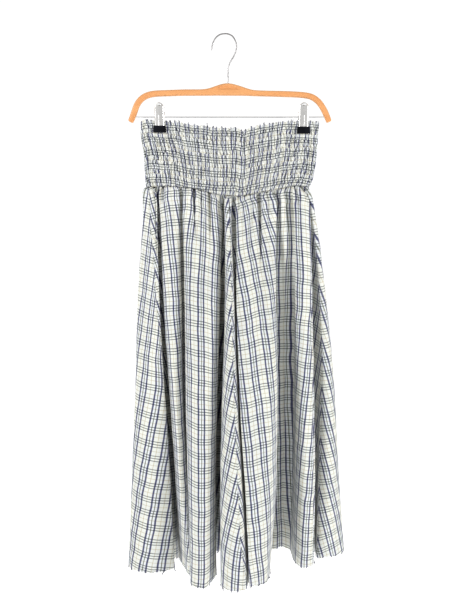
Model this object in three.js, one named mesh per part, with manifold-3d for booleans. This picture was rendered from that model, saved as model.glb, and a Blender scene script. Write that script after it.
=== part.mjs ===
// A maxi skirt hanging from a clip hanger.
// Millimetres, +Z up, X to the right seen from the front, the front facing -Y.
// The origin is the point inside the top of the hook, where the hanger hangs.
//
// The cloth is a wall that follows closed rings: a ring at every height runs through
// the fold lines of the table FOLDS (front) and BACK (back), and a fold line runs from
// the yoke seam down to the hem. "front" is the distance forward of the hanger's
// plane, so y = -front.

import * as THREE from "three";
import Module from "manifold-3d";
import { mergeVertices } from "three/addons/utils/BufferGeometryUtils.js";

// ---------------------------------------------------------------- driving sizes
const WALL = 2; // cloth wall
const GAP = 0.4; // clearance between neighbouring cut edges
const HEM = -1164; // height of the hem
const LEVELS = [-350, -555, -765, -975, HEM]; // heights of the fold table's columns
const SKIRT_ROWS = [0, 0.03, 0.08, 0.16, 0.27, 0.4, 0.54, 0.69, 0.85, 1];
const YOKE_ROWS = [0, 0.2, 0.45, 0.66, 0.8, 0.9, 1];
const YOKE_COLUMNS = 30;

const CLIPS = [
  { side: "left", across: -140, lower: -202.6, turn: 0 },
  { side: "right", across: 170, lower: -204.6, turn: 0 },
];
const PINCH = 1.2; // middle of the cloth wall from the hanger's plane, inside a clip
const PAD = { wide: 28, tall: 14, thick: 4.6 };
const PLATE = { wide: 21, top: -141.5, thick: 1, pivot: 6.4, spread: 8.6 };
const ROD = { height: -169.5, radius: 1, left: -197, right: 220.5 };
const WIRE = 1.25; // radius of the hook's wire
const BAR_DEPTH = 9;

const COLOUR = {
  cloth: 0xe9e8e2,
  apricot: 0xf9c188,
  chrome: 0xc9cbcd,
  steel: 0xa9abad,
  rubber: 0x1d1d1f,
};

// ---------------------------------------------------------------- tables
// The yoke's edges: across, height of the top edge, height of the skirt seam.
const YOKE_EDGES = [
  { across: -182, top: -181.0, seam: -318.6 },
  { across: -167, top: -176.4, seam: -318.0 },
  { across: -127, top: -178.8, seam: -316.6 },
  { across: -77, top: -187.6, seam: -320.6 },
  { across: -50, top: -191.0, seam: -326.0 },
  { across: -15, top: -195.0, seam: -334.4 },
  { across: 25, top: -195.6, seam: -338.8 },
  { across: 39, top: -198.6, seam: -337.4 },
  { across: 55, top: -194.6, seam: -334.6 },
  { across: 80, top: -189.6, seam: -330.4 },
  { across: 107, top: -184.8, seam: -325.6 },
  { across: 132, top: -180.8, seam: -319.4 },
  { across: 151, top: -179.4, seam: -315.4 },
  { across: 173, top: -177.6, seam: -317.2 },
  { across: 206, top: -181.0, seam: -324.0 },
];
// The yoke's two sides: share of its height, left end, right end.
const YOKE_SIDES = [
  { share: 0, left: -172, right: 185 },
  { share: 0.1, left: -173, right: 191 },
  { share: 0.25, left: -174, right: 196 },
  { share: 0.5, left: -176, right: 200.5 },
  { share: 0.8, left: -181, right: 203 },
  { share: 1, left: -182, right: 205 },
];
// How far the yoke's front and back stand off the hanger's plane.
const YOKE_OFF = [
  { across: -182, frontTop: 5, frontSeam: 8, backTop: 5, backSeam: 11 },
  { across: -90, frontTop: 9, frontSeam: 10, backTop: 8, backSeam: 12 },
  { across: 0, frontTop: 12, frontSeam: 11, backTop: 10, backSeam: 12 },
  { across: 60, frontTop: 11, frontSeam: 11, backTop: 11, backSeam: 12 },
  { across: 130, frontTop: 8, frontSeam: 10, backTop: 8, backSeam: 12 },
  { across: 206, frontTop: 5, frontSeam: 8, backTop: 5, backSeam: 10 },
];

// Fold lines of the front from left to right: place across at the yoke seam, then
// across and front at each of LEVELS; lift raises the hem there.
const FOLDS = [
  { name: "left_edge", seam: -172, across: [-174.2, -190.7, -198.4, -207.7, -215.8], front: [3, 14, 28, 42, 57], lift: 0 },
  { name: "r1_crest", seam: -164, across: [-164.8, -169.5, -168, -166.5, -169.2], front: [8, 27, 47, 64, 80], lift: 0 },
  { name: "r1_face", seam: -156, across: [-153.6, -151.9, -144.5, -133.1, -126.2], front: [9, 29, 47, 60, 70], lift: 0 },
  { name: "r1_edge", seam: -151, across: [-148.3, -142.2, -131.3, -119.8, -112.5], front: [8, 25, 41, 53, 62], lift: 0 },
  { name: "v1_back", seam: -148, across: [-156.6, -163.4, -162.9, -157.4, -152.4], front: [-2, -3, -4, -5, -8], lift: 0 },
  { name: "v1_deep", seam: -144, across: [-145.4, -140.8, -129.6, -120.5, -112.4], front: [-3, -8, -10, -10, -4], lift: 0 },
  { name: "r2_left", seam: -136, across: [-136.4, -131, -119.5, -107.5, -101.5], front: [7, 23, 39, 46, 36], lift: 0 },
  { name: "r2_crest", seam: -121, across: [-120.6, -113.8, -104.7, -94.4, -88.8], front: [11, 39, 59, 70, 64], lift: 0 },
  { name: "r2_right", seam: -105, across: [-103.7, -98.5, -94.6, -85.7, -80.5], front: [7, 29, 49, 66, 84], lift: 0 },
  { name: "v2_deep", seam: -98, across: [-96.7, -92.5, -90, -80.3, -73.3], front: [0, 6, 23, 55, 92], lift: 0 },
  { name: "r3_left", seam: -91, across: [-90.6, -83.7, -81.3, -76.4, -72], front: [7, 35, 60, 92, 116], lift: 0 },
  { name: "r3_crest", seam: -69, across: [-68.3, -60.8, -58, -56.8, -56], front: [14, 55, 87, 112, 126], lift: 0 },
  { name: "r3_crease", seam: -43, across: [-42.5, -38.7, -39.2, -41.1, -41.3], front: [9, 47, 81, 110, 126], lift: 0 },
  { name: "r3_right", seam: -27, across: [-25.1, -23.6, -27.6, -28.8, -29.1], front: [11, 49, 77, 97, 108], lift: 0 },
  { name: "r3_flank", seam: -11, across: [-9.9, -10.9, -16.6, -19.8, -18.7], front: [6, 31, 53, 70, 88], lift: 0 },
  { name: "v3_left", seam: -4, across: [-3.5, -7.8, -16.6, -21.2, -22], front: [0, -14, -22, -23, -18], lift: 0 },
  { name: "v3_right", seam: 0, across: [1.1, 7.8, 6.9, 9, 14.2], front: [1, -13, -16, -15, -8], lift: 0 },
  { name: "r4_left", seam: 3, across: [0.8, 0.6, -4.6, -8.6, -6.9], front: [5, 37, 69, 97, 120], lift: 0 },
  { name: "r4_crest", seam: 9.5, across: [9.3, 12.6, 12.4, 14.5, 14.6], front: [13, 59, 99, 125, 134], lift: 0 },
  { name: "r4_right", seam: 17, across: [16.3, 19.6, 24.4, 34.4, 43.5], front: [10, 54, 95, 124, 131], lift: 0 },
  { name: "v4_near", seam: 20, across: [19.5, 26.5, 36, 46, 55], front: [5, 30, 62, 92, 100], lift: 2 },
  { name: "v4_far", seam: 22.5, across: [23.5, 34, 44.5, 55, 64], front: [5, 32, 66, 95, 103], lift: 4 },
  { name: "r5_left", seam: 25, across: [26.5, 26.5, 32.2, 45.3, 52.8], front: [9, 49, 89, 121, 129], lift: 6 },
  { name: "r5_body", seam: 43, across: [44.5, 47.5, 48.8, 57, 63], front: [13, 60, 101, 127, 130], lift: 8 },
  { name: "r5_crease", seam: 58, across: [59.8, 61.7, 62.7, 69.6, 74.7], front: [11, 56, 97, 124, 128], lift: 8 },
  { name: "v5", seam: 72, across: [74.6, 79.2, 78.5, 80.2, 82.3], front: [3, 47, 93, 120, 125], lift: 8 },
  { name: "r5_right", seam: 90, across: [92.5, 95.6, 97.6, 96, 89.5], front: [11, 55, 90, 108, 116], lift: 6 },
  { name: "r5_edge", seam: 104, across: [109.4, 110.7, 114.7, 112.2, 101.2], front: [7, 35, 61, 72, 72], lift: 2 },
  { name: "vb_back", seam: 108, across: [104.9, 104.6, 105.9, 104.4, 101.6], front: [-6, -14, -16, -15, -8], lift: 0 },
  { name: "vb_left", seam: 113, across: [115.8, 123.5, 127.5, 126.5, 121.2], front: [-3, -3, -2, -1, 0], lift: 0 },
  { name: "vb_mid", seam: 124, across: [127.8, 137.6, 140.9, 140.2, 136.5], front: [7, 1, 1, 1, 1], lift: 0 },
  { name: "vb_right", seam: 142, across: [147.8, 154.4, 156.5, 157.7, 154.2], front: [-4, -6, -4, -3, 2], lift: 0 },
  { name: "r7_left", seam: 148, across: [155.2, 159, 161.1, 162.2, 160.2], front: [5, 16, 25, 34, 42], lift: 0 },
  { name: "r7_crest", seam: 156, across: [168.8, 172.5, 176.1, 179.1, 179.4], front: [9, 27, 41, 53, 64], lift: 0 },
  { name: "r7_edge", seam: 163, across: [183.6, 193.6, 199.2, 203.4, 204.1], front: [6, 17, 29, 40, 46], lift: 0 },
  { name: "v7_back", seam: 167, across: [178, 188, 193.2, 196.2, 198.5], front: [-4, -15, -18, -18, -14], lift: 0 },
  { name: "v7_deep", seam: 171, across: [184, 204, 213.5, 217.4, 214], front: [-3, -10, -10, -9, 6], lift: 0 },
  { name: "r8_left", seam: 176, across: [188.6, 212.3, 221.1, 219, 214.4], front: [1, 4, 7, 12, 28], lift: 0 },
  { name: "r8_crest", seam: 181, across: [191.6, 219.3, 237.1, 246.5, 247.8], front: [3, 9, 15, 21, 24], lift: 0 },
  { name: "right_edge", seam: 185, across: [194.5, 226.8, 251.4, 266.9, 284.1], front: [-3, -2, -1, -1, 0], lift: 0 },
];

// What rounds the sides, with the same columns.
const RIGHT_TURN = [
  { name: "right_back", seam: 181, across: [188, 219, 240, 254, 268], front: [-13, -23, -28, -31, -32], lift: 0 },
];
const LEFT_TURN = [
  { name: "left_turn", seam: -166, across: [-164, -178, -186, -192, -196], front: [-14, -25, -31, -34, -36], lift: 0 },
  { name: "left_back", seam: -170, across: [-171, -188, -196, -204, -210], front: [-6, -8, -4, 0, 4], lift: 0 },
];
// Folds of the back from right to left: where a ridge stands as a share of the way,
// how far it reaches, and how far the valley after it comes forward again.
const BACK = [
  { at: 0.04, reach: 0.92, rise: 1.0 },
  { at: 0.125, reach: 1.05, rise: 0.95 },
  { at: 0.225, reach: 0.85, rise: 1.03 },
  { at: 0.31, reach: 1.0, rise: 0.9 },
  { at: 0.4, reach: 1.08, rise: 1.0 },
  { at: 0.5, reach: 0.9, rise: 1.0 },
  { at: 0.585, reach: 1.02, rise: 0.93 },
  { at: 0.69, reach: 1.1, rise: 1.04 },
  { at: 0.775, reach: 0.86, rise: 0.96 },
  { at: 0.865, reach: 1.0, rise: 1.0 },
  { at: 0.955, reach: 0.94, rise: 1.0 },
];
const BACK_REACH = [-22, -40, -50, -57, -62];
const BACK_RISE = [-14, -26, -30, -31, -31];

// Where the panels meet, in fold lines counted from the left edge.
const SEAM_LEFT = [
  { height: -318, line: 0.9 },
  { height: -400, line: 1.3 },
  { height: -500, line: 1.95 },
  { height: -600, line: 2.35 },
  { height: -660, line: 2.75 },
  { height: -765, line: 3.4 },
  { height: HEM, line: 3.75 },
];
const SEAM_FRONT = [
  { height: -338, line: 18.1 },
  { height: -555, line: 18.35 },
  { height: -765, line: 18.66 },
  { height: -1050, line: 18.75 },
  { height: HEM, line: 19.3 },
];

// The hanger's bar: middle of the section and its height, from tip to tip.
const BAR = [
  { across: -202.2, height: -177.6, tall: 11.6 },
  { across: -197.4, height: -167.0, tall: 12.8 },
  { across: -193.4, height: -156.2, tall: 13.2 },
  { across: -187.4, height: -141.6, tall: 12.8 },
  { across: -174.6, height: -128.4, tall: 12.4 },
  { across: -160.4, height: -122.6, tall: 12.3 },
  { across: -145.2, height: -120.6, tall: 12.3 },
  { across: -115.2, height: -119.6, tall: 12.4 },
  { across: -83.0, height: -118.6, tall: 12.5 },
  { across: -50.8, height: -118.6, tall: 12.5 },
  { across: -34.0, height: -117.6, tall: 14.4 },
  { across: -20.6, height: -115.4, tall: 18.6 },
  { across: -3.5, height: -112.8, tall: 24.2 },
  { across: 7.4, height: -112.0, tall: 25.8 },
  { across: 17.0, height: -113.0, tall: 24.0 },
  { across: 33.4, height: -115.2, tall: 19.6 },
  { across: 48.2, height: -117.8, tall: 14.6 },
  { across: 63.2, height: -119.8, tall: 11.8 },
  { across: 95.4, height: -120.8, tall: 11.4 },
  { across: 127.4, height: -121.6, tall: 11.8 },
  { across: 157.6, height: -122.8, tall: 11.6 },
  { across: 180.2, height: -125.2, tall: 11.6 },
  { across: 191.2, height: -129.2, tall: 11.8 },
  { across: 204.6, height: -140.0, tall: 12.0 },
  { across: 216.4, height: -158.2, tall: 12.4 },
  { across: 225.2, height: -177.4, tall: 11.4 },
];
// The hook's wire from inside the bar up, over the top and down to its tip.
const HOOK = [
  { across: 7.4, height: -121 },
  { across: 7.4, height: -104 },
  { across: 7.4, height: -86 },
  { across: 7.8, height: -70 },
  { across: 12.6, height: -56 },
  { across: 20.4, height: -43 },
  { across: 25.0, height: -31 },
  { across: 24.6, height: -18 },
  { across: 18.4, height: -5.4 },
  { across: 9.4, height: 0.2 },
  { across: 0, height: 1.25 },
  { across: -10.4, height: -0.8 },
  { across: -19.4, height: -8 },
  { across: -25.2, height: -19 },
  { across: -27.4, height: -31 },
];

// ---------------------------------------------------------------- small helpers
const lerp = (a, b, u) => a + (b - a) * u;
const clamp = (v, lo, hi) => Math.min(hi, Math.max(lo, v));

// Smooth curve through (xs, ys) that never overshoots.
function through(xs, ys) {
  const n = xs.length;
  const step = [], slope = [];
  for (let i = 0; i < n - 1; i++) {
    step.push(xs[i + 1] - xs[i]);
    slope.push((ys[i + 1] - ys[i]) / step[i]);
  }
  const lean = ys.map((_, i) => {
    if (i === 0) return slope[0];
    if (i === n - 1) return slope[n - 2];
    const a = slope[i - 1], b = slope[i];
    return a * b <= 0 ? 0 : (2 * a * b) / (a + b);
  });
  return (x) => {
    let i = 0;
    while (i < n - 2 && x > xs[i + 1]) i++;
    const u = clamp((x - xs[i]) / step[i], 0, 1);
    const u2 = u * u, u3 = u2 * u;
    return (2 * u3 - 3 * u2 + 1) * ys[i] + (u3 - 2 * u2 + u) * step[i] * lean[i] +
      (3 * u2 - 2 * u3) * ys[i + 1] + (u3 - u2) * step[i] * lean[i + 1];
  };
}
const column = (table, x, y) => through(table.map((r) => r[x]), table.map((r) => r[y]));

const topEdge = column(YOKE_EDGES, "across", "top");
const seamEdge = column(YOKE_EDGES, "across", "seam");
const leftEnd = column(YOKE_SIDES, "share", "left");
const rightEnd = column(YOKE_SIDES, "share", "right");
const off = Object.fromEntries(
  ["frontTop", "frontSeam", "backTop", "backSeam"].map((c) => [c, column(YOKE_OFF, "across", c)]));

// ---------------------------------------------------------------- the yoke's form
// How far the yoke stands off the plane, side +1 for its front and -1 for its back.
function yokeOff(across, share, side) {
  const lo = leftEnd(share), hi = rightEnd(share);
  const xi = clamp((2 * across - lo - hi) / (hi - lo), -1, 1);
  const top = side > 0 ? off.frontTop(across) : off.backTop(across);
  const seam = side > 0 ? off.frontSeam(across) : off.backSeam(across);
  let away = lerp(seam, top, share) * Math.sqrt(1 - Math.abs(xi) ** 8);
  const z = lerp(seamEdge(across), topEdge(across), share);
  for (const clip of CLIPS) {
    const dx = Math.max(0, Math.abs(across - clip.across) - PAD.wide / 2 - 3);
    const dz = Math.max(0, clip.lower - 4 - z);
    const held = Math.exp(-((dx / 17) ** 2) - (dz / 40) ** 2);
    away = lerp(away, PINCH, held);
  }
  return side * away;
}

// A point of the yoke: u from 0 at the left end to 1 at the right end, share of height.
function yokePoint(u, share, side) {
  const xi = 0.6 * (2 * u - 1) + 0.4 * Math.sin(Math.PI * (u - 0.5));
  const lo = leftEnd(share), hi = rightEnd(share);
  const across = (lo + hi) / 2 + (xi * (hi - lo)) / 2;
  const z = lerp(seamEdge(across) + GAP / 2, topEdge(across), share);
  return new THREE.Vector3(across, -yokeOff(across, share, side), z);
}

// ---------------------------------------------------------------- the skirt's form
function backFolds() {
  const from = RIGHT_TURN[0], to = LEFT_TURN[0];
  const rows = [];
  const line = (at, name, depth) => ({
    name, lift: 0,
    seam: lerp(from.seam, to.seam, at),
    across: LEVELS.map((_, i) => lerp(from.across[i], to.across[i], at)),
    front: LEVELS.map((_, i) => depth(i)),
  });
  BACK.forEach((fold, n) => {
    rows.push(line(fold.at, `back_ridge_${n}`, (i) => BACK_REACH[i] * fold.reach));
    const next = BACK[n + 1];
    if (next) rows.push(line((fold.at + next.at) / 2, `back_valley_${n}`, (i) => BACK_RISE[i] * fold.rise));
  });
  return rows;
}

const LINES = [...FOLDS, ...RIGHT_TURN, ...backFolds(), ...LEFT_TURN];
const COUNT = LINES.length;
const RIGHT_EDGE = FOLDS.length - 1;
const line = (name) => LINES.findIndex((row) => row.name === name);
const SIDE_RIGHT = line("r8_left");
const CENTRE_BACK = FOLDS.length + RIGHT_TURN.length + BACK.length - 1; // a ridge near the middle

// Each fold line from the seam to the hem.
const RUNS = LINES.map((line, n) => {
  const side = n <= RIGHT_EDGE ? 1 : -1;
  const start = seamEdge(line.seam) - GAP / 2;
  const off0 = yokeOff(line.seam, 0, side);
  const levels = [...LEVELS];
  levels[LEVELS.length - 1] = HEM + line.lift;
  const xs = [-start, ...levels.map((z) => -z)];
  return {
    start, end: HEM + line.lift,
    across: through(xs, [line.seam, ...line.across]),
    front: through(xs, [off0, ...line.front]),
  };
});

const ringAt = new Map();
function ring(t) {
  const key = t.toFixed(6);
  if (!ringAt.has(key)) {
    ringAt.set(key, RUNS.map((run) => {
      const z = lerp(run.start, run.end, t);
      return new THREE.Vector3(run.across(-z), -run.front(-z), z);
    }));
  }
  return ringAt.get(key);
}

// A point of the skirt: k in fold lines from the left edge, t from seam to hem.
function skirtPoint(k, t) {
  const points = ring(t);
  const wrapped = ((k % COUNT) + COUNT) % COUNT;
  const i = Math.floor(wrapped), u = wrapped - i;
  const p = [-1, 0, 1, 2].map((d) => points[(i + d + COUNT) % COUNT]);
  const knot = [0];
  for (let n = 0; n < 3; n++) knot.push(knot[n] + Math.max(Math.sqrt(p[n].distanceTo(p[n + 1])), 1e-3));
  const s = lerp(knot[1], knot[2], u);
  const mix = (a, b, s0, s1) => a.clone().multiplyScalar((s1 - s) / (s1 - s0)).addScaledVector(b, (s - s0) / (s1 - s0));
  const a1 = mix(p[0], p[1], knot[0], knot[1]), a2 = mix(p[1], p[2], knot[1], knot[2]), a3 = mix(p[2], p[3], knot[2], knot[3]);
  const b1 = mix(a1, a2, knot[0], knot[2]), b2 = mix(a2, a3, knot[1], knot[3]);
  return mix(b1, b2, knot[1], knot[2]);
}

const seamLeft = through(SEAM_LEFT.map((r) => -r.height), SEAM_LEFT.map((r) => r.line));
const seamFront = through(SEAM_FRONT.map((r) => -r.height), SEAM_FRONT.map((r) => r.line));
const heightOf = (t) => -lerp(-328, HEM, t);
const SEAMS = {
  left: (t) => seamLeft(heightOf(t)),
  front: (t) => seamFront(heightOf(t)),
  right: () => SIDE_RIGHT,
  back: () => CENTRE_BACK,
};

// ---------------------------------------------------------------- solids from walls
// A wall through point(column, row), with its cut edges closed. The columns of a row
// are given by columns(row); level rows keep their normals level.
function wall(point, columns, rows, thickness, { tangentGap = GAP / 2, levelEnds = true } = {}) {
  const outer = [], inner = [];
  rows.forEach((row, j) => {
    const cols = columns(row);
    outer.push([]);
    inner.push([]);
    cols.forEach((col, i) => {
      const p = point(col, row);
      const e = 0.04, f = 0.004;
      const along = point(col + e, row).sub(point(col - e, row)).normalize();
      const r0 = clamp(row - f, rows[0], rows.at(-1)), r1 = clamp(row + f, rows[0], rows.at(-1));
      const down = point(col, r1).sub(point(col, r0)).normalize();
      const n = new THREE.Vector3().crossVectors(along, down);
      if (levelEnds && (j === 0 || j === rows.length - 1)) n.z = 0;
      n.normalize();
      if (i === 0) p.addScaledVector(along, tangentGap);
      if (i === cols.length - 1) p.addScaledVector(along, -tangentGap);
      outer[j].push(p.clone().addScaledVector(n, thickness / 2));
      inner[j].push(p.clone().addScaledVector(n, -thickness / 2));
    });
  });
  return closed(outer, inner);
}

// Two grids of points, one on each side, joined round their rim.
function closed(outer, inner) {
  const rows = outer.length, cols = outer[0].length;
  const at = [], faces = [];
  const id = (s, j, i) => (s * rows + j) * cols + i;
  for (const grid of [outer, inner]) for (const row of grid) for (const p of row) at.push(p.x, p.y, p.z);
  const quad = (a, b, c, d) => faces.push(a, b, c, a, c, d);
  for (let j = 0; j < rows - 1; j++) for (let i = 0; i < cols - 1; i++) {
    quad(id(0, j, i), id(0, j, i + 1), id(0, j + 1, i + 1), id(0, j + 1, i));
    quad(id(1, j, i), id(1, j + 1, i), id(1, j + 1, i + 1), id(1, j, i + 1));
  }
  for (let i = 0; i < cols - 1; i++) {
    quad(id(0, 0, i + 1), id(0, 0, i), id(1, 0, i), id(1, 0, i + 1));
    quad(id(0, rows - 1, i), id(0, rows - 1, i + 1), id(1, rows - 1, i + 1), id(1, rows - 1, i));
  }
  for (let j = 0; j < rows - 1; j++) {
    quad(id(0, j, 0), id(0, j + 1, 0), id(1, j + 1, 0), id(1, j, 0));
    quad(id(0, j, cols - 1), id(1, j, cols - 1), id(1, j + 1, cols - 1), id(0, j + 1, cols - 1));
  }
  return outward(at, faces);
}

function outward(at, faces) {
  let volume = 0;
  for (let f = 0; f < faces.length; f += 3) {
    const [a, b, c] = [0, 1, 2].map((n) => new THREE.Vector3().fromArray(at, faces[f + n] * 3));
    volume += a.dot(b.cross(c));
  }
  const turned = volume < 0
    ? faces.map((_, n) => faces[n - (n % 3) + [0, 2, 1][n % 3]])
    : faces;
  const geometry = new THREE.BufferGeometry();
  geometry.setAttribute("position", new THREE.Float32BufferAttribute(at, 3));
  geometry.setIndex(turned);
  return geometry;
}

// Rings of equal count joined in order, with flat ends.
function loft(rings) {
  const n = rings[0].length;
  const at = rings.flat().flatMap((p) => [p.x, p.y, p.z]);
  const faces = [];
  for (let j = 0; j < rings.length - 1; j++) for (let i = 0; i < n; i++) {
    const a = j * n + i, b = j * n + ((i + 1) % n);
    faces.push(a, b, b + n, a, b + n, a + n);
  }
  const last = (rings.length - 1) * n;
  for (let i = 1; i < n - 1; i++) faces.push(0, i + 1, i, last, last + i, last + i + 1);
  return outward(at, faces);
}

// Oval rings square to a path in the hanger's plane.
function barRings() {
  const curve = new THREE.CatmullRomCurve3(BAR.map((r) => new THREE.Vector3(r.across, 0, r.height)), false, "centripetal");
  return BAR.map((row, j) => {
    const along = curve.getTangent(j / (BAR.length - 1));
    const up = new THREE.Vector3(-along.z, 0, along.x);
    const ringPoints = [];
    for (let i = 0; i < 12; i++) {
      const a = (Math.PI * 2 * (i + 0.5)) / 12;
      ringPoints.push(new THREE.Vector3(row.across, 0, row.height)
        .addScaledVector(up, (Math.sin(a) * row.tall) / 2)
        .add(new THREE.Vector3(0, (Math.cos(a) * BAR_DEPTH) / 2, 0)));
    }
    return ringPoints;
  });
}

// A round bar from a to b.
function rodBetween(a, b, radius, sides = 12) {
  const geometry = new THREE.CylinderGeometry(radius, radius, a.distanceTo(b), sides, 1);
  geometry.applyQuaternion(new THREE.Quaternion().setFromUnitVectors(
    new THREE.Vector3(0, 1, 0), b.clone().sub(a).normalize()));
  geometry.translate((a.x + b.x) / 2, (a.y + b.y) / 2, (a.z + b.z) / 2);
  return geometry;
}

const wasm = await Module();
wasm.setup();
function solid(geometry) {
  const bare = geometry.clone();
  bare.deleteAttribute("normal");
  bare.deleteAttribute("uv");
  const merged = mergeVertices(bare, 1e-4);
  return new wasm.Manifold(new wasm.Mesh({
    numProp: 3,
    vertProperties: new Float32Array(merged.attributes.position.array),
    triVerts: new Uint32Array(merged.index.array),
  }));
}
function cut(geometry, ...tools) {
  let body = solid(geometry);
  for (const tool of tools) body = body.subtract(solid(tool));
  const mesh = body.getMesh();
  const result = new THREE.BufferGeometry();
  result.setAttribute("position", new THREE.BufferAttribute(new Float32Array(mesh.vertProperties), 3));
  result.setIndex(new THREE.BufferAttribute(new Uint32Array(mesh.triVerts), 1));
  return result;
}

// ---------------------------------------------------------------- the object
const skirt = new THREE.Group();
function add(name, geometry, colour, roughness, metalness = 0) {
  const material = new THREE.MeshStandardMaterial({ color: colour, roughness, metalness });
  const mesh = new THREE.Mesh(geometry, material);
  mesh.name = name;
  skirt.add(mesh);
  return mesh;
}

const spread = (from, to, n) => Array.from({ length: n + 1 }, (_, i) => lerp(from, to, i / n));
const joined = (...lists) => lists.flatMap((list, i) => (i ? list.slice(1) : list));

// panels of the skirt
add("skirt_front_left", wall(skirtPoint,
  (t) => joined(spread(SEAMS.left(t), line("r2_left"), 8), spread(line("r2_left"), line("r4_left"), 25),
    spread(line("r4_left"), SEAMS.front(t), 4)),
  SKIRT_ROWS, WALL), COLOUR.cloth, 0.9);
add("skirt_front_right", wall(skirtPoint,
  (t) => joined(spread(SEAMS.front(t), line("v4_near"), 4), spread(line("v4_near"), SIDE_RIGHT, 38)),
  SKIRT_ROWS, WALL), COLOUR.cloth, 0.9);
add("skirt_back_right", wall(skirtPoint,
  () => spread(SIDE_RIGHT, CENTRE_BACK, 2 * (CENTRE_BACK - SIDE_RIGHT)),
  SKIRT_ROWS, WALL), COLOUR.cloth, 0.9);
add("skirt_back_left", wall(skirtPoint,
  (t) => joined(spread(CENTRE_BACK, COUNT, 2 * (COUNT - CENTRE_BACK)), spread(COUNT, COUNT + SEAMS.left(t), 7)),
  SKIRT_ROWS, WALL), COLOUR.cloth, 0.9);

// the yoke: the two halves meet along the sides
const yokeColumns = () => spread(0.004, 0.996, YOKE_COLUMNS);
for (const [name, side] of [["yoke_front", 1], ["yoke_back", -1]]) {
  add(name, yokeWall(side), COLOUR.cloth, 0.9);
}
function yokeWall(side) {
  const outer = [], inner = [];
  YOKE_ROWS.forEach((share, j) => {
    outer.push([]);
    inner.push([]);
    for (const u of yokeColumns()) {
      const p = yokePoint(u, share, side);
      const a = yokePoint(Math.min(u + 0.004, 0.9999), share, side);
      const b = yokePoint(Math.max(u - 0.004, 0.0001), share, side);
      const along = a.sub(b).normalize();
      // level normals, which keep the two layers' cut edges square to each other
      const n = new THREE.Vector3(along.y, -along.x, 0).multiplyScalar(side).normalize();
      if (Math.sign(n.y) === side && Math.abs(n.y) > 0.2) n.multiplyScalar(-1);
      outer[j].push(p.clone().addScaledVector(n, WALL / 2));
      inner[j].push(p.clone().addScaledVector(n, -WALL / 2));
    }
  });
  return closed(outer, inner);
}

// the hanger
const shankHole = rodBetween(new THREE.Vector3(7.4, 0, -121.6), new THREE.Vector3(7.4, 0, -80), WIRE + 0.35, 16);
const rodHole = rodBetween(
  new THREE.Vector3(ROD.left - 0.4, 0, ROD.height), new THREE.Vector3(ROD.right + 0.4, 0, ROD.height), ROD.radius + 0.35, 16);
add("hanger_bar", cut(loft(barRings()), shankHole, rodHole), COLOUR.apricot, 0.55);
add("clip_rod", rodBetween(new THREE.Vector3(ROD.left, 0, ROD.height), new THREE.Vector3(ROD.right, 0, ROD.height), ROD.radius),
  COLOUR.steel, 0.3, 1);

const hookPath = new THREE.CatmullRomCurve3(HOOK.map((r) => new THREE.Vector3(r.across, 0, r.height)), false, "centripetal");
const wireSection = new THREE.Shape();
wireSection.absarc(0, 0, WIRE, 0, Math.PI * 2, false);
add("hanger_hook", new THREE.ExtrudeGeometry(wireSection, { steps: 44, curveSegments: 5, extrudePath: hookPath, bevelEnabled: false }),
  COLOUR.chrome, 0.15, 1);

// the clips: two plates that cross over the rod, and a pad on the end of each
function plateWall(clip, side) {
  const heights = [PLATE.top, PLATE.top - 1, PLATE.top - 3, PLATE.top - 6.5, ROD.height + 9, ROD.height, ROD.height - 9, clip.lower + PAD.tall + 0.4];
  const widths = [0.42, 0.62, 0.84, 1, 1, 1, 1, 1];
  const away = [PLATE.spread, PLATE.spread, PLATE.spread - 0.1, PLATE.spread - 0.3, PLATE.pivot + 0.6, PLATE.pivot, PLATE.pivot - 0.9, PINCH + WALL / 2 + 2.6];
  const outer = [], inner = [];
  heights.forEach((z, j) => {
    outer.push([]);
    inner.push([]);
    for (const s of [-1, -0.5, 0, 0.5, 1]) {
      const x = clip.across + (s * widths[j] * PLATE.wide) / 2;
      const crown = 0.7 * (1 - s * s);
      outer[j].push(new THREE.Vector3(x, -side * (away[j] + crown + PLATE.thick / 2), z));
      inner[j].push(new THREE.Vector3(x, -side * (away[j] + crown - PLATE.thick / 2), z));
    }
  });
  return closed(outer, inner);
}
function padWall(clip, side) {
  const outer = [], inner = [];
  const near = PINCH + WALL / 2 + 0.3;
  [[0, 0.9, 0.55], [0.12, 1, 0.85], [0.5, 1, 1], [0.88, 1, 0.85], [1, 0.93, 0.5]].forEach(([share, wide, thick], j) => {
    outer.push([]);
    inner.push([]);
    for (const s of [-1, -0.86, 0, 0.86, 1]) {
      const x = clip.across + (s * wide * PAD.wide) / 2;
      const round = Math.abs(s) === 1 ? 0.6 : 1;
      const z = clip.lower + share * PAD.tall;
      outer[j].push(new THREE.Vector3(x, -side * (near + PAD.thick * thick * round), z));
      inner[j].push(new THREE.Vector3(x, -side * near, z));
    }
  });
  return closed(outer, inner);
}
for (const clip of CLIPS) {
  for (const [name, side] of [["front", 1], ["rear", -1]]) {
    add(`clip_${clip.side}_${name}_plate`, plateWall(clip, side), COLOUR.steel, 0.3, 1);
    add(`clip_${clip.side}_${name}_pad`, padWall(clip, side), COLOUR.rubber, 0.6);
  }
  const coil = rodBetween(new THREE.Vector3(clip.across - 8, 0, ROD.height), new THREE.Vector3(clip.across + 8, 0, ROD.height), 4.2, 16);
  const bore = rodBetween(new THREE.Vector3(clip.across - 9, 0, ROD.height), new THREE.Vector3(clip.across + 9, 0, ROD.height), ROD.radius + 0.4, 16);
  add(`clip_${clip.side}_spring`, cut(coil, bore), COLOUR.steel, 0.4, 1);
}

export default skirt;
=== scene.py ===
"""The look of a maxi skirt that hangs from a clip hanger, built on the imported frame."""
import math

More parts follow.
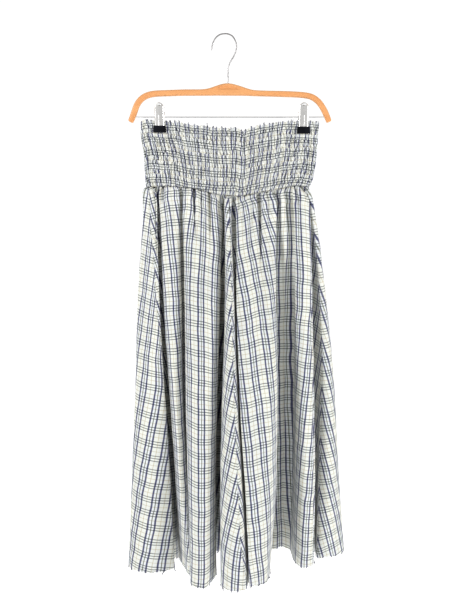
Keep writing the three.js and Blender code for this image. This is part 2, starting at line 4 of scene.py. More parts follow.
import bpy
import numpy as np
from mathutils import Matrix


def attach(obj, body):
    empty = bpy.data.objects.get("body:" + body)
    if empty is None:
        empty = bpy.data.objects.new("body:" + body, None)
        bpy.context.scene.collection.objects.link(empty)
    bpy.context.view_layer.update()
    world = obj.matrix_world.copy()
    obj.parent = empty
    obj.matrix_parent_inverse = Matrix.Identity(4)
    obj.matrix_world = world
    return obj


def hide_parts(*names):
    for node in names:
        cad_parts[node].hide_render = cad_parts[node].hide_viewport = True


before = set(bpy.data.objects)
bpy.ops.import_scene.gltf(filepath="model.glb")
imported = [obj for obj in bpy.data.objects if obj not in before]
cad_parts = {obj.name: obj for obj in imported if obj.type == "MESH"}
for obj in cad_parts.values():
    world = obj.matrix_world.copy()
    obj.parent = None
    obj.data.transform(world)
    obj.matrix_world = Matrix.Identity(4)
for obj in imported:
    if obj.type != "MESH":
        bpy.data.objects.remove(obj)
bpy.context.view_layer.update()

# Sizes below are in millimetres and become metres when a mesh is made.
# X to the right, -Y towards the viewer ("front" is -Y), Z up, origin in the hook's top.
HEM = -1164.0
LEVELS = (-350, -555, -765, -975, HEM)
GAP = 0.4
PINCH = 1.2
CLIPS = (("left", -140.0, -202.6), ("right", 170.0, -204.6))  # side, across, lower end
BACK_REACH = (-22, -40, -50, -57, -62)
BACK_RISE = (-14, -26, -30, -31, -31)
ROD_HEIGHT = -169.5
CHECK = 32.0  # repeat of the check across
CHECK_DOWN = 30.5  # and down
GORE_TOP = 492.0  # radius of a gore's top edge, laid flat
GORE_LENGTH = 840.0
GORE_HALF_ANGLE = 0.27925  # radians
YOKE_FULLNESS = 1.56

# Fold lines of the front, left to right: name, across at the yoke seam, across at each
# of LEVELS, distance forward at each of LEVELS, lift of the hem.
FOLDS = [
    ("left_edge", -172, (-174.2, -190.7, -198.4, -207.7, -215.8), (3, 14, 28, 42, 57), 0),
    ("r1_crest", -164, (-164.8, -169.5, -168, -166.5, -169.2), (8, 27, 47, 64, 80), 0),
    ("r1_face", -156, (-153.6, -151.9, -144.5, -133.1, -126.2), (9, 29, 47, 60, 70), 0),
    ("r1_edge", -151, (-148.3, -142.2, -131.3, -119.8, -112.5), (8, 25, 41, 53, 62), 0),
    ("v1_back", -148, (-156.6, -163.4, -162.9, -157.4, -152.4), (-2, -3, -4, -5, -8), 0),
    ("v1_deep", -144, (-145.4, -140.8, -129.6, -120.5, -112.4), (-3, -8, -10, -10, -4), 0),
    ("r2_left", -136, (-136.4, -131, -119.5, -107.5, -101.5), (7, 23, 39, 46, 36), 0),
    ("r2_crest", -121, (-120.6, -113.8, -104.7, -94.4, -88.8), (11, 39, 59, 70, 64), 0),
    ("r2_right", -105, (-103.7, -98.5, -94.6, -85.7, -80.5), (7, 29, 49, 66, 84), 0),
    ("v2_deep", -98, (-96.7, -92.5, -90, -80.3, -73.3), (0, 6, 23, 55, 92), 0),
    ("r3_left", -91, (-90.6, -83.7, -81.3, -76.4, -72), (7, 35, 60, 92, 116), 0),
    ("r3_crest", -69, (-68.3, -60.8, -58, -56.8, -56), (14, 55, 87, 112, 126), 0),
    ("r3_crease", -43, (-42.5, -38.7, -39.2, -41.1, -41.3), (9, 47, 81, 110, 126), 0),
    ("r3_right", -27, (-25.1, -23.6, -27.6, -28.8, -29.1), (11, 49, 77, 97, 108), 0),
    ("r3_flank", -11, (-9.9, -10.9, -16.6, -19.8, -18.7), (6, 31, 53, 70, 88), 0),
    ("v3_left", -4, (-3.5, -7.8, -16.6, -21.2, -22), (0, -14, -22, -23, -18), 0),
    ("v3_right", 0, (1.1, 7.8, 6.9, 9, 14.2), (1, -13, -16, -15, -8), 0),
    ("r4_left", 3, (0.8, 0.6, -4.6, -8.6, -6.9), (5, 37, 69, 97, 120), 0),
    ("r4_crest", 9.5, (9.3, 12.6, 12.4, 14.5, 14.6), (13, 59, 99, 125, 134), 0),
    ("r4_right", 17, (16.3, 19.6, 24.4, 34.4, 43.5), (10, 54, 95, 124, 131), 0),
    ("v4_near", 20, (19.5, 26.5, 36, 46, 55), (5, 30, 62, 92, 100), 2),
    ("v4_far", 22.5, (23.5, 34, 44.5, 55, 64), (5, 32, 66, 95, 103), 4),
    ("r5_left", 25, (26.5, 26.5, 32.2, 45.3, 52.8), (9, 49, 89, 121, 129), 6),
    ("r5_body", 43, (44.5, 47.5, 48.8, 57, 63), (13, 60, 101, 127, 130), 8),
    ("r5_crease", 58, (59.8, 61.7, 62.7, 69.6, 74.7), (11, 56, 97, 124, 128), 8),
    ("v5", 72, (74.6, 79.2, 78.5, 80.2, 82.3), (3, 47, 93, 120, 125), 8),
    ("r5_right", 90, (92.5, 95.6, 97.6, 96, 89.5), (11, 55, 90, 108, 116), 6),
    ("r5_edge", 104, (109.4, 110.7, 114.7, 112.2, 101.2), (7, 35, 61, 72, 72), 2),
    ("vb_back", 108, (104.9, 104.6, 105.9, 104.4, 101.6), (-6, -14, -16, -15, -8), 0),
    ("vb_left", 113, (115.8, 123.5, 127.5, 126.5, 121.2), (-3, -3, -2, -1, 0), 0),
    ("vb_mid", 124, (127.8, 137.6, 140.9, 140.2, 136.5), (7, 1, 1, 1, 1), 0),
    ("vb_right", 142, (147.8, 154.4, 156.5, 157.7, 154.2), (-4, -6, -4, -3, 2), 0),
    ("r7_left", 148, (155.2, 159, 161.1, 162.2, 160.2), (5, 16, 25, 34, 42), 0),
    ("r7_crest", 156, (168.8, 172.5, 176.1, 179.1, 179.4), (9, 27, 41, 53, 64), 0),
    ("r7_edge", 163, (183.6, 193.6, 199.2, 203.4, 204.1), (6, 17, 29, 40, 46), 0),
    ("v7_back", 167, (178, 188, 193.2, 196.2, 198.5), (-4, -15, -18, -18, -14), 0),
    ("v7_deep", 171, (184, 204, 213.5, 217.4, 214), (-3, -10, -10, -9, 6), 0),
    ("r8_left", 176, (188.6, 212.3, 221.1, 219, 214.4), (1, 4, 7, 12, 28), 0),
    ("r8_crest", 181, (191.6, 219.3, 237.1, 246.5, 247.8), (3, 9, 15, 21, 24), 0),
    ("right_edge", 185, (194.5, 226.8, 251.4, 266.9, 284.1), (-3, -2, -1, -1, 0), 0),
]
RIGHT_TURN = [
    ("right_back", 181, (188, 219, 240, 254, 268), (-13, -23, -28, -31, -32), 0),
]
LEFT_TURN = [
    ("left_turn", -166, (-164, -178, -186, -192, -196), (-14, -25, -31, -34, -36), 0),
    ("left_back", -170, (-171, -188, -196, -204, -210), (-6, -8, -4, 0, 4), 0),
]
# columns: at, reach, rise
BACK = [
    (0.04, 0.92, 1),
    (0.125, 1.05, 0.95),
    (0.225, 0.85, 1.03),
    (0.31, 1, 0.9),
    (0.4, 1.08, 1),
    (0.5, 0.9, 1),
    (0.585, 1.02, 0.93),
    (0.69, 1.1, 1.04),
    (0.775, 0.86, 0.96),
    (0.865, 1, 1),
    (0.955, 0.94, 1),
]
# columns: across, top, seam
YOKE_EDGES = [
    (-182, -181, -318.6),
    (-167, -176.4, -318),
    (-127, -178.8, -316.6),
    (-77, -187.6, -320.6),
    (-50, -191, -326),
    (-15, -195, -334.4),
    (25, -195.6, -338.8),
    (39, -198.6, -337.4),
    (55, -194.6, -334.6),
    (80, -189.6, -330.4),
    (107, -184.8, -325.6),
    (132, -180.8, -319.4),
    (151, -179.4, -315.4),
    (173, -177.6, -317.2),
    (206, -181, -324),
]
# columns: share, left, right
YOKE_SIDES = [
    (0, -172, 185),
    (0.1, -173, 191),
    (0.25, -174, 196),
    (0.5, -176, 200.5),
    (0.8, -181, 203),
    (1, -182, 205),
]
# columns: across, frontTop, frontSeam, backTop, backSeam
YOKE_OFF = [
    (-182, 5, 8, 5, 11),
    (-90, 9, 10, 8, 12),
    (0, 12, 11, 10, 12),
    (60, 11, 11, 11, 12),
    (130, 8, 10, 8, 12),
    (206, 5, 8, 5, 10),
]
# columns: height, line
SEAM_LEFT = [
    (-318, 0.9),
    (-400, 1.3),
    (-500, 1.95),
    (-600, 2.35),
    (-660, 2.75),
    (-765, 3.4),
    (-1164, 3.75),
]
# columns: height, line
SEAM_FRONT = [
    (-338, 18.1),
    (-555, 18.35),
    (-765, 18.66),
    (-1050, 18.75),
    (-1164, 19.3),
]
# columns: across, height, tall
BAR = [
    (-202.2, -177.6, 11.6),
    (-197.4, -167, 12.8),
    (-193.4, -156.2, 13.2),
    (-187.4, -141.6, 12.8),
    (-174.6, -128.4, 12.4),
    (-160.4, -122.6, 12.3),
    (-145.2, -120.6, 12.3),
    (-115.2, -119.6, 12.4),
    (-83, -118.6, 12.5),
    (-50.8, -118.6, 12.5),
    (-34, -117.6, 14.4),
    (-20.6, -115.4, 18.6),
    (-3.5, -112.8, 24.2),
    (7.4, -112, 25.8),
    (17, -113, 24),
    (33.4, -115.2, 19.6),
    (48.2, -117.8, 14.6),
    (63.2, -119.8, 11.8),
    (95.4, -120.8, 11.4),
    (127.4, -121.6, 11.8),
    (157.6, -122.8, 11.6),
    (180.2, -125.2, 11.6),
    (191.2, -129.2, 11.8),
    (204.6, -140, 12),
    (216.4, -158.2, 12.4),
    (225.2, -177.4, 11.4),
]
# columns: across, height
HOOK = [
    (7.4, -121),
    (7.4, -104),
    (7.4, -86),
    (7.8, -70),
    (12.6, -56),
    (20.4, -43),
    (25, -31),
    (24.6, -18),
    (18.4, -5.4),
    (9.4, 0.2),
    (0, 1.25),
    (-10.4, -0.8),
    (-19.4, -8),
    (-25.2, -19),
    (-27.4, -31),
]

# ------------------------------------------------------------------ curves and noise
def through(xs, ys):
    """Smooth curve through the points that never overshoots."""
    xs, ys = np.array(xs, float), np.array(ys, float)
    h = np.diff(xs)
    m = np.diff(ys) / h
    lean = np.zeros_like(ys)
    lean[0], lean[-1] = m[0], m[-1]
    for i in range(1, len(ys) - 1):
        a, b = m[i - 1], m[i]
        lean[i] = 0 if a * b <= 0 else 2 * a * b / (a + b)

    def curve(x):
        x = np.asarray(x, float)
        i = np.clip(np.searchsorted(xs, x, side="left") - 1, 0, len(xs) - 2)
        u = np.clip((x - xs[i]) / h[i], 0, 1)
        u2 = u * u
        u3 = u2 * u
        return ((2 * u3 - 3 * u2 + 1) * ys[i] + (u3 - 2 * u2 + u) * h[i] * lean[i]
                + (3 * u2 - 2 * u3) * ys[i + 1] + (u3 - u2) * h[i] * lean[i + 1])

    return curve


def column(table, x, y):
    return through([row[x] for row in table], [row[y] for row in table])


def smooth(lo, hi, x):
    u = np.clip((np.asarray(x, float) - lo) / (hi - lo), 0, 1)
    return u * u * (3 - 2 * u)


def noise(x, y, seed):
    """Smooth noise from -1 to 1, with features about one unit across."""
    table = np.random.default_rng(seed).uniform(-1, 1, (64, 64))
    x, y = np.broadcast_arrays(np.asarray(x, float), np.asarray(y, float))
    xi, yi = np.floor(x).astype(int), np.floor(y).astype(int)
    fx, fy = x - xi, y - yi
    sx = fx ** 3 * (fx * (fx * 6 - 15) + 10)
    sy = fy ** 3 * (fy * (fy * 6 - 15) + 10)
    a, b = table[xi % 64, yi % 64], table[(xi + 1) % 64, yi % 64]
    c, d = table[xi % 64, (yi + 1) % 64], table[(xi + 1) % 64, (yi + 1) % 64]
    return (a * (1 - sx) + b * sx) * (1 - sy) + (c * (1 - sx) + d * sx) * sy


def unit(v):
    return v / np.maximum(np.linalg.norm(v, axis=-1, keepdims=True), 1e-9)


# ------------------------------------------------------------------ the cloth's form
top_edge, seam_edge = column(YOKE_EDGES, 0, 1), column(YOKE_EDGES, 0, 2)
left_end, right_end = column(YOKE_SIDES, 0, 1), column(YOKE_SIDES, 0, 2)
off_front_top, off_front_seam = column(YOKE_OFF, 0, 1), column(YOKE_OFF, 0, 2)
off_back_top, off_back_seam = column(YOKE_OFF, 0, 3), column(YOKE_OFF, 0, 4)


def yoke_off(across, share, side):
    """How far the yoke's front (side 1) or back (-1) stands from the hanger's plane."""
    across = np.asarray(across, float)
    lo, hi = left_end(share), right_end(share)
    xi = np.clip((2 * across - lo - hi) / (hi - lo), -1, 1)
    top = off_front_top(across) if side > 0 else off_back_top(across)
    seam = off_front_seam(across) if side > 0 else off_back_seam(across)
    away = (seam + (top - seam) * share) * np.sqrt(1 - np.abs(xi) ** 8)
    z = seam_edge(across) + (top_edge(across) - seam_edge(across)) * share
    for _, centre, lower in CLIPS:
        dx = np.maximum(0, np.abs(across - centre) - 17)
        dz = np.maximum(0, lower - 4 - z)
        held = np.exp(-((dx / 17) ** 2) - (dz / 40) ** 2)
        away = away + (PINCH - away) * held
    return side * away


def back_folds():
    a, b = RIGHT_TURN[0], LEFT_TURN[0]

    def row(at, depths):
        across = tuple(p + (q - p) * at for p, q in zip(a[2], b[2]))
        return ("back", a[1] + (b[1] - a[1]) * at, across, depths, 0)

    rows = []
    for n, (at, reach, rise) in enumerate(BACK):
        rows.append(row(at, tuple(v * reach for v in BACK_REACH)))
        if n + 1 < len(BACK):
            rows.append(row((at + BACK[n + 1][0]) / 2, tuple(v * rise for v in BACK_RISE)))
    return rows


LINES = list(FOLDS) + list(RIGHT_TURN) + back_folds() + list(LEFT_TURN)
COUNT = len(LINES)
RIGHT_EDGE = len(FOLDS) - 1
NAME = {row[0]: n for n, row in enumerate(FOLDS)}
SIDE_RIGHT = NAME["r8_left"]
CENTRE_BACK = len(FOLDS) + len(RIGHT_TURN) + len(BACK) - 1

RUNS = []
for _n, (_name, _seam, _across, _front, _lift) in enumerate(LINES):
    _side = 1 if _n <= RIGHT_EDGE else -1
    _start = float(seam_edge(_seam)) - GAP / 2
    _xs = [-_start] + [-z for z in LEVELS[:-1]] + [-(HEM + _lift)]
    RUNS.append((_start, HEM + _lift, through(_xs, (_seam,) + tuple(_across)),
                 through(_xs, (float(yoke_off(_seam, 0, _side)),) + tuple(_front))))


def ring(t):
    out = []
    for start, end, across, front in RUNS:
        z = start + (end - start) * t
        out.append((float(across(-z)), -float(front(-z)), z))
    return np.array(out)


def ring_points(k, points):
    """Points of a ring: k counts fold lines from the left edge, and may pass COUNT."""
    k = np.atleast_1d(np.asarray(k, float)) % COUNT
    i = np.floor(k).astype(int)
    u = k - i
    p = [points[(i + d) % COUNT] for d in (-1, 0, 1, 2)]
    knot = [np.zeros(len(k))]
    for n in range(3):
        gap = np.sqrt(np.linalg.norm(p[n + 1] - p[n], axis=1))
        knot.append(knot[n] + np.maximum(gap, 1e-3))
    s = knot[1] + (knot[2] - knot[1]) * u

    def mix(a, b, s0, s1):
        return a * ((s1 - s) / (s1 - s0))[:, None] + b * ((s - s0) / (s1 - s0))[:, None]

    a1, a2 = mix(p[0], p[1], knot[0], knot[1]), mix(p[1], p[2], knot[1], knot[2])
    a3 = mix(p[2], p[3], knot[2], knot[3])
    return mix(mix(a1, a2, knot[0], knot[2]), mix(a2, a3, knot[1], knot[3]), knot[1], knot[2])


_seam_left = through([-row[0] for row in SEAM_LEFT], [row[1] for row in SEAM_LEFT])
_seam_front = through([-row[0] for row in SEAM_FRONT], [row[1] for row in SEAM_FRONT])


def seam_left(t):
    return float(_seam_left(-(-328 + (HEM + 328) * t)))


def seam_front(t):
    return float(_seam_front(-(-328 + (HEM + 328) * t)))


# place of each fold line along the top ring, in millimetres of gathered seam
_dense = np.linspace(0, COUNT, 6001)
_top = ring_points(_dense, ring(0.0))
_s = np.concatenate([[0], np.cumsum(np.linalg.norm(np.diff(_top, axis=0), axis=1))])
TOP_LENGTH = _s[-1]


def top_place(k):
    k = np.asarray(k, float)
    return np.interp(k % COUNT, _dense, _s)


# ------------------------------------------------------------------ gathers and creases
_rng = np.random.default_rng(7)


def folds_along(pitch, seed, spread=0.3):
    """An uneven ripple that closes on itself round the top ring, and each fold's length."""
    rng = np.random.default_rng(seed)
    n = int(round(TOP_LENGTH / pitch))
    at = (np.arange(n) + rng.uniform(-spread, spread, n)) / n * TOP_LENGTH
    high = rng.uniform(0.45, 1.0, n)
    reach = rng.uniform(0.45, 1.5, n)
    low = (at + np.roll(at, -1) + np.where(np.roll(at, -1) < at, TOP_LENGTH, 0)) / 2
    where = np.concatenate([at, low % TOP_LENGTH])
    value = np.concatenate([high, -rng.uniform(0.5, 1.0, n)])
    far = np.concatenate([reach, (reach + np.roll(reach, -1)) / 2])
    order = np.argsort(where)
    where, value, far = where[order], value[order], far[order]
    where = np.concatenate([[where[-1] - TOP_LENGTH], where, [where[0] + TOP_LENGTH]])
    value = np.concatenate([[value[-1]], value, [value[0]]])
    far = np.concatenate([[far[-1]], far, [far[0]]])

    def ripple(s):
        i = np.clip(np.searchsorted(where, s) - 1, 0, len(where) - 2)
        u = np.clip((s - where[i]) / (where[i + 1] - where[i]), 0, 1)
        u = 0.5 - 0.5 * np.cos(np.pi * u)
        return value[i] * (1 - u) + value[i + 1] * u, far[i] * (1 - u) + far[i + 1] * u

    return ripple


pucker = folds_along(12.5, 11)
gather = folds_along(19.0, 12)
ripple = folds_along(31.0, 13, 0.35)


def rounded(value):
    """Round ridges and narrow valleys, as gathered cloth has."""
    return 2 * np.clip((value + 1) / 2, 0, 1) ** 0.52 - 1


def gathers(k, depth):
    """Height of the small folds under the yoke, depth in mm below its seam."""
    s = top_place(k)
    a, fa = pucker(s)
    b, fb = gather(s)
    c, fc = ripple(s)
    h = 3.0 * rounded(a) * np.exp(-((depth / (26 * fa)) ** 2))
    h += 5.4 * rounded(b) * smooth(-8, 12, depth) * np.exp(-((depth / (96 * fb)) ** 2))
    h += 1.9 * c * smooth(20, 160, depth) * np.exp(-((depth / (420 * fc)) ** 2))
    return h


# narrow creases, listed one by one: fold line, depth, half width, from and to below the seam
CREASES = (
    (2.5, 6.0, 2.8, 0, 190),
    (4.6, 5.5, 4.5, 0, 190),
    (6.05, 6.5, 2.3, 0, 42),
    (9.05, 7.0, 2.6, 0, 260),
    (10.3, 4.5, 2.0, 0, 60),
    (11.12, 8.0, 2.5, 0, 130),
    (11.72, 5.0, 2.0, 0, 50),
    (12.5, 7.0, 2.4, 0, 120),
    (11.9, 1.8, 3.0, 95, 300),
    (13.66, 3.5, 2.0, 0, 60),
    (15.0, 8.0, 4.0, 0, 150),
    (20.8, 3.5, 3.5, 0, 110),
    (22.4, 3.5, 2.0, 0, 60),
    (23.25, 3.0, 2.0, 0, 45),
    (24.25, 4.0, 2.2, 0, 80),
    (25.05, 7.5, 2.6, 0, 170),
    (26.1, 4.0, 2.2, 0, 90),
    (27.8, 6.0, 3.2, 0, 170),
    (29.4, 3.5, 2.5, 0, 90),
    (30.45, 6.0, 2.8, 0, 120),
    (31.3, 7.0, 2.8, 0, 190),
    (32.7, 3.0, 1.8, 0, 50),
    (33.6, 2.5, 1.8, 0, 60),
    (35.6, 4.0, 4.0, 0, 160),
    (35.6, 5.0, 6.0, 60, 1600),
    (33.95, 7.0, 3.2, 130, 1600),
    (30.0, 13.0, 14.0, 120, 1600),
    (42.3, 6.0, 2.6, 0, 120),
    (43.7, 5.0, 2.2, 0, 60),
    (45.2, 7.0, 2.8, 0, 170),
    (46.9, 4.0, 2.0, 0, 50),
    (48.4, 6.5, 2.5, 0, 140),
    (50.2, 5.0, 2.2, 0, 70),
    (51.6, 7.5, 3.0, 0, 190),
    (53.5, 4.5, 2.0, 0, 60),
    (55.1, 6.5, 2.6, 0, 130),
    (56.8, 5.0, 2.2, 0, 80),
    (58.3, 7.0, 2.8, 0, 160),
    (60.1, 4.5, 2.1, 0, 55),
    (61.6, 6.0, 2.6, 0, 120),
)


def creases(k, arc, depth):
    h = np.zeros_like(k)
    for line, deep, half, lo, hi in CREASES:
        for j in range(len(k)):
            if k[j, 0] < line < k[j, -1]:
                at = np.interp(line, k[j], arc[j])
                fade = smooth(lo - 8, lo + (5 if lo == 0 else 170), depth[j]) * (1 - smooth(hi * 0.55, hi, depth[j]))
                # each is deepest and widest where the gathers pull, just under the seam
                pull = 0.5 * np.exp(-((depth[j] / 48.0) ** 2)) if lo == 0 else 0.0
                h[j] -= deep * (1 + pull) * np.exp(-(((arc[j] - at) / (half * (1 + pull))) ** 2)) * fade
    return h


def panel(k0, k1, cols, rows=150):
    """A gore as a grid: points, fold counts, arc lengths, heights below the seam."""
    ts = np.linspace(0, 1, rows) ** 1.12
    p = np.zeros((rows, cols, 3))
    k = np.zeros((rows, cols))
    arc = np.zeros((rows, cols))
    for j, t in enumerate(ts):
        points = ring(t)
        fine = np.linspace(k0(t), k1(t), 1500)
        q = ring_points(fine, points)
        s = np.concatenate([[0], np.cumsum(np.linalg.norm(np.diff(q, axis=0), axis=1))])
        arc[j] = np.linspace(0, s[-1], cols)
        k[j] = np.interp(arc[j], s, fine)
        p[j] = ring_points(k[j], points)
    return ts, p, k, arc


def normals(p):
    """Outward normals of a grid whose columns run to the right and rows run down."""
    along = np.gradient(p, axis=1)
    down = np.gradient(p, axis=0)
    return unit(np.cross(down, along))


def seen(p):
    """Where the viewer in front sees points given in mm, as slopes from the eye."""
    ahead, up = p[..., 1] + 1050, p[..., 2] + 456
    c, s = math.cos(math.radians(6)), math.sin(math.radians(6))
    deep = ahead * c - up * s
    return np.stack([(p[..., 0] - 1) / deep, -(ahead * s + up * c) / deep], -1)


def easing(t, top_ease):
    return 1 + (top_ease - 1) * (1 - float(smooth(0, 0.16, t)))


def hang(ts, k, arc, p, top_ease, line, lean_top, lean_hem, shift, bow=0.0):
    """A gore's share at one fold line, row by row, so that the cloth's warp hangs there
    with the given lean in degrees, from the top to the hem, positive to the right, and
    bow more halfway. The hidden cloth beside the fold gives it shift mm more on its left."""
    share = []
    across = None
    for j, t in enumerate(ts):
        if not k[j, 0] + 0.3 < line < k[j, -1] - 0.3:
            share.append(0.5)
            continue
        s, end = np.interp(line, k[j], arc[j]), arc[j, -1]
        near, far = max(s - 1.5, 0.0), min(s + 1.5, end)
        place = np.array([[np.interp(x, arc[j], p[j, :, c]) for c in range(3)] for x in (near, s, far)])
        aside = (place[2] - place[0]) / (far - near)
        radius = GORE_TOP + GORE_LENGTH * t
        g = easing(t, top_ease)
        if across is None:
            reach = g / (radius * 2 * GORE_HALF_ANGLE)
            q = s / end if j == 0 else (s * reach if s < end / 2 else 1 - (end - s) * reach)
            across = radius * math.sin((2 * q - 1) * GORE_HALF_ANGLE)
        else:
            lean = math.tan(math.radians(lean_top + (lean_hem - lean_top) * t + bow * 4 * t * (1 - t)))
            down, right = seen(place[1]) - seen(before), seen(place[1] + aside) - seen(place[1])
            across -= g * (lean * down[1] - down[0]) / (right[0] - lean * right[1])
        before = place[1]
        here = across + shift * float(smooth(0.02, 0.3, t))
        share.append((math.asin(np.clip(here / radius, -0.275, 0.275)) / GORE_HALF_ANGLE + 1) / 2)
    return share


def flat_places(ts, k, arc, p, hidden, anchors, top_ease):
    """Where each point of a gore lies on its flat cut: u across and v down, in mm.

    Cloth that shows keeps its true width and the slack goes into the hidden places.
    anchors: (fold line, lean of the warp there at the top and at the hem, shift, bow)."""
    rows, cols = k.shape
    u, v = np.zeros((rows, cols)), np.zeros((rows, cols))
    hung = [(a[0], hang(ts, k, arc, p, top_ease, *a)) for a in anchors]
    for j, t in enumerate(ts):
        radius = GORE_TOP + GORE_LENGTH * t
        need = radius * 2 * GORE_HALF_ANGLE
        at = (k[j, 1:] + k[j, :-1]) / 2
        h = np.zeros(cols - 1)
        for lo, hi in hidden:
            h += smooth(lo - 0.3, lo + 0.3, at) * (1 - smooth(hi - 0.3, hi + 0.3, at))
        h = np.clip(h, 0, 1)
        ds = np.diff(arc[j])
        g = easing(t, top_ease)
        stops = [(k[j, 0] - 1, 0.0)]
        for line, share in hung:
            if k[j, 0] + 0.3 < line < k[j, -1] - 0.3:
                stops.append((line, share[j]))
        stops.append((k[j, -1] + 1, 1.0))
        w = np.ones(cols - 1)
        for (k_lo, q_lo), (k_hi, q_hi) in zip(stops[:-1], stops[1:]):
            here = (at >= k_lo) & (at < k_hi)
            want, have = (q_hi - q_lo) * need, g * ds[here].sum()
            room = (h * ds)[here].sum()
            change = (want - have) / room if room > 1 else 0.0
            w[here] = g + np.clip(change, -0.55 * g, 3.0) * h[here]
            w[here] *= max(want, 1.0) / (w * ds)[here].sum()
        q = np.concatenate([[0], np.cumsum(w * ds)])
        q /= q[-1]
        angle = (2 * q - 1) * GORE_HALF_ANGLE
        u[j] = radius * np.sin(angle)
        v[j] = radius * np.cos(angle) - GORE_TOP
    kernel = np.array([1, 4, 6, 4, 1]) / 16
    for grid in (u, v):
        for _ in range(3):
            padded = np.pad(grid, ((2, 2), (0, 0)), mode="reflect", reflect_type="odd")
            grid[:] = sum(c * padded[i:i + rows] for i, c in enumerate(kernel))
    return u, v


# ------------------------------------------------------------------ meshes
def build(name, verts, faces, material, uv=None, sharp=None, body="root"):
    """A piece from points in mm, with smooth faces."""
    mesh = bpy.data.meshes.new(name)
    mesh.from_pydata((np.asarray(verts) * 0.001).tolist(), [], [tuple(map(int, f)) for f in faces])
    mesh.update()
    mesh.shade_smooth()
    if uv is not None:
        layer = mesh.uv_layers.new(name="cloth")
        loops = np.zeros(len(mesh.loops), int)
        mesh.loops.foreach_get("vertex_index", loops)
        layer.data.foreach_set("uv", np.asarray(uv, np.float32)[loops].ravel())
    piece = bpy.data.objects.new(name, mesh)
    bpy.context.scene.collection.objects.link(piece)
    for m in material if isinstance(material, (list, tuple)) else [material]:
        mesh.materials.append(m)
    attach(piece, body)
    return piece


def shell(name, outer, inner, uv, material):
    """Two grids of points, one for each side of the cloth, joined round their rim."""
    rows, cols = outer.shape[:2]
    idx = np.arange(rows * cols).reshape(rows, cols)
    far = idx + rows * cols
    a, b, c, d = idx[:-1, :-1], idx[1:, :-1], idx[1:, 1:], idx[:-1, 1:]
    faces = [np.stack([a, b, c, d], -1).reshape(-1, 4)]
    a, b, c, d = far[:-1, :-1], far[1:, :-1], far[1:, 1:], far[:-1, 1:]
    faces.append(np.stack([a, d, c, b], -1).reshape(-1, 4))
    faces.append(np.stack([idx[0, 1:], far[0, 1:], far[0, :-1], idx[0, :-1]], -1))
    faces.append(np.stack([idx[-1, :-1], far[-1, :-1], far[-1, 1:], idx[-1, 1:]], -1))
    faces.append(np.stack([idx[:-1, 0], far[:-1, 0], far[1:, 0], idx[1:, 0]], -1))
    faces.append(np.stack([idx[1:, -1], far[1:, -1], far[:-1, -1], idx[:-1, -1]], -1))
    verts = np.concatenate([outer.reshape(-1, 3), inner.reshape(-1, 3)])
    both = np.concatenate([uv.reshape(-1, 2), uv.reshape(-1, 2)])
    return build(name, verts, np.concatenate(faces), material, both)


def tube(points, radius, sides=16, close=True):
    """Verts and faces of a round tube along points, with rounded ends."""
    points = np.asarray(points, float)
    radius = np.broadcast_to(np.asarray(radius, float), (len(points),)).copy()
    along = unit(np.gradient(points, axis=0))
    if close:
        caps = []
        for end, sign in ((0, -1), (-1, 1)):
            r = radius[end]
            caps.append([(points[end] + sign * along[end] * r * math.sin(a), r * math.cos(a), along[end])
                         for a in (0.5, 1.0, 1.4)])
        head, tail = caps[0][::-1], caps[1]
        points = np.array([c[0] for c in head] + list(points) + [c[0] for c in tail])
        radius = np.array([c[1] for c in head] + list(radius) + [c[1] for c in tail])
        along = np.array([c[2] for c in head] + list(along) + [c[2] for c in tail])
    side = np.cross(along[0], (0, 1, 0) if abs(along[0][1]) < 0.9 else (1, 0, 0))
    rings = []
    for p, r, a in zip(points, radius, along):
        side = unit(side - a * np.dot(side, a))
        up = np.cross(a, side)
        ang = np.arange(sides) * 2 * math.pi / sides
        rings.append(p + r * (np.cos(ang)[:, None] * side + np.sin(ang)[:, None] * up))
    verts = np.concatenate(rings)
    n = len(rings)
    faces = []
    for j in range(n - 1):
        for i in range(sides):
            i2 = (i + 1) % sides
            faces.append((j * sides + i, j * sides + i2, (j + 1) * sides + i2, (j + 1) * sides + i))
    faces.append(tuple(range(sides))[::-1])
    faces.append(tuple((n - 1) * sides + i for i in range(sides)))
    return verts, faces


def merge(parts):
    verts, faces, base = [], [], 0
    for v, f in parts:
        verts.append(np.asarray(v))
        faces += [tuple(i + base for i in face) for face in f]
        base += len(v)
    return np.concatenate(verts), faces


def catmull(points, steps):
    """A smooth run through points, as many as steps between each two."""
    points = np.asarray(points, float)
    ext = np.vstack([2 * points[0] - points[1], points, 2 * points[-1] - points[-2]])
    out = []
    for i in range(1, len(ext) - 2):
        p0, p1, p2, p3 = ext[i - 1:i + 3]
        for u in np.arange(steps) / steps:
            out.append(0.5 * (2 * p1 + (p2 - p0) * u + (2 * p0 - 5 * p1 + 4 * p2 - p3) * u * u
                              + (3 * p1 - p0 - 3 * p2 + p3) * u ** 3))
    out.append(points[-1])
    return np.array(out)

# ------------------------------------------------------------------ materials
def srgb(r, g, b):
    """A colour given as 0-255 screen values."""
    return tuple((c / 255 / 12.92) if c <= 10 else (((c / 255) + 0.055) / 1.055) ** 2.4
                 for c in (r, g, b)) + (1.0,)


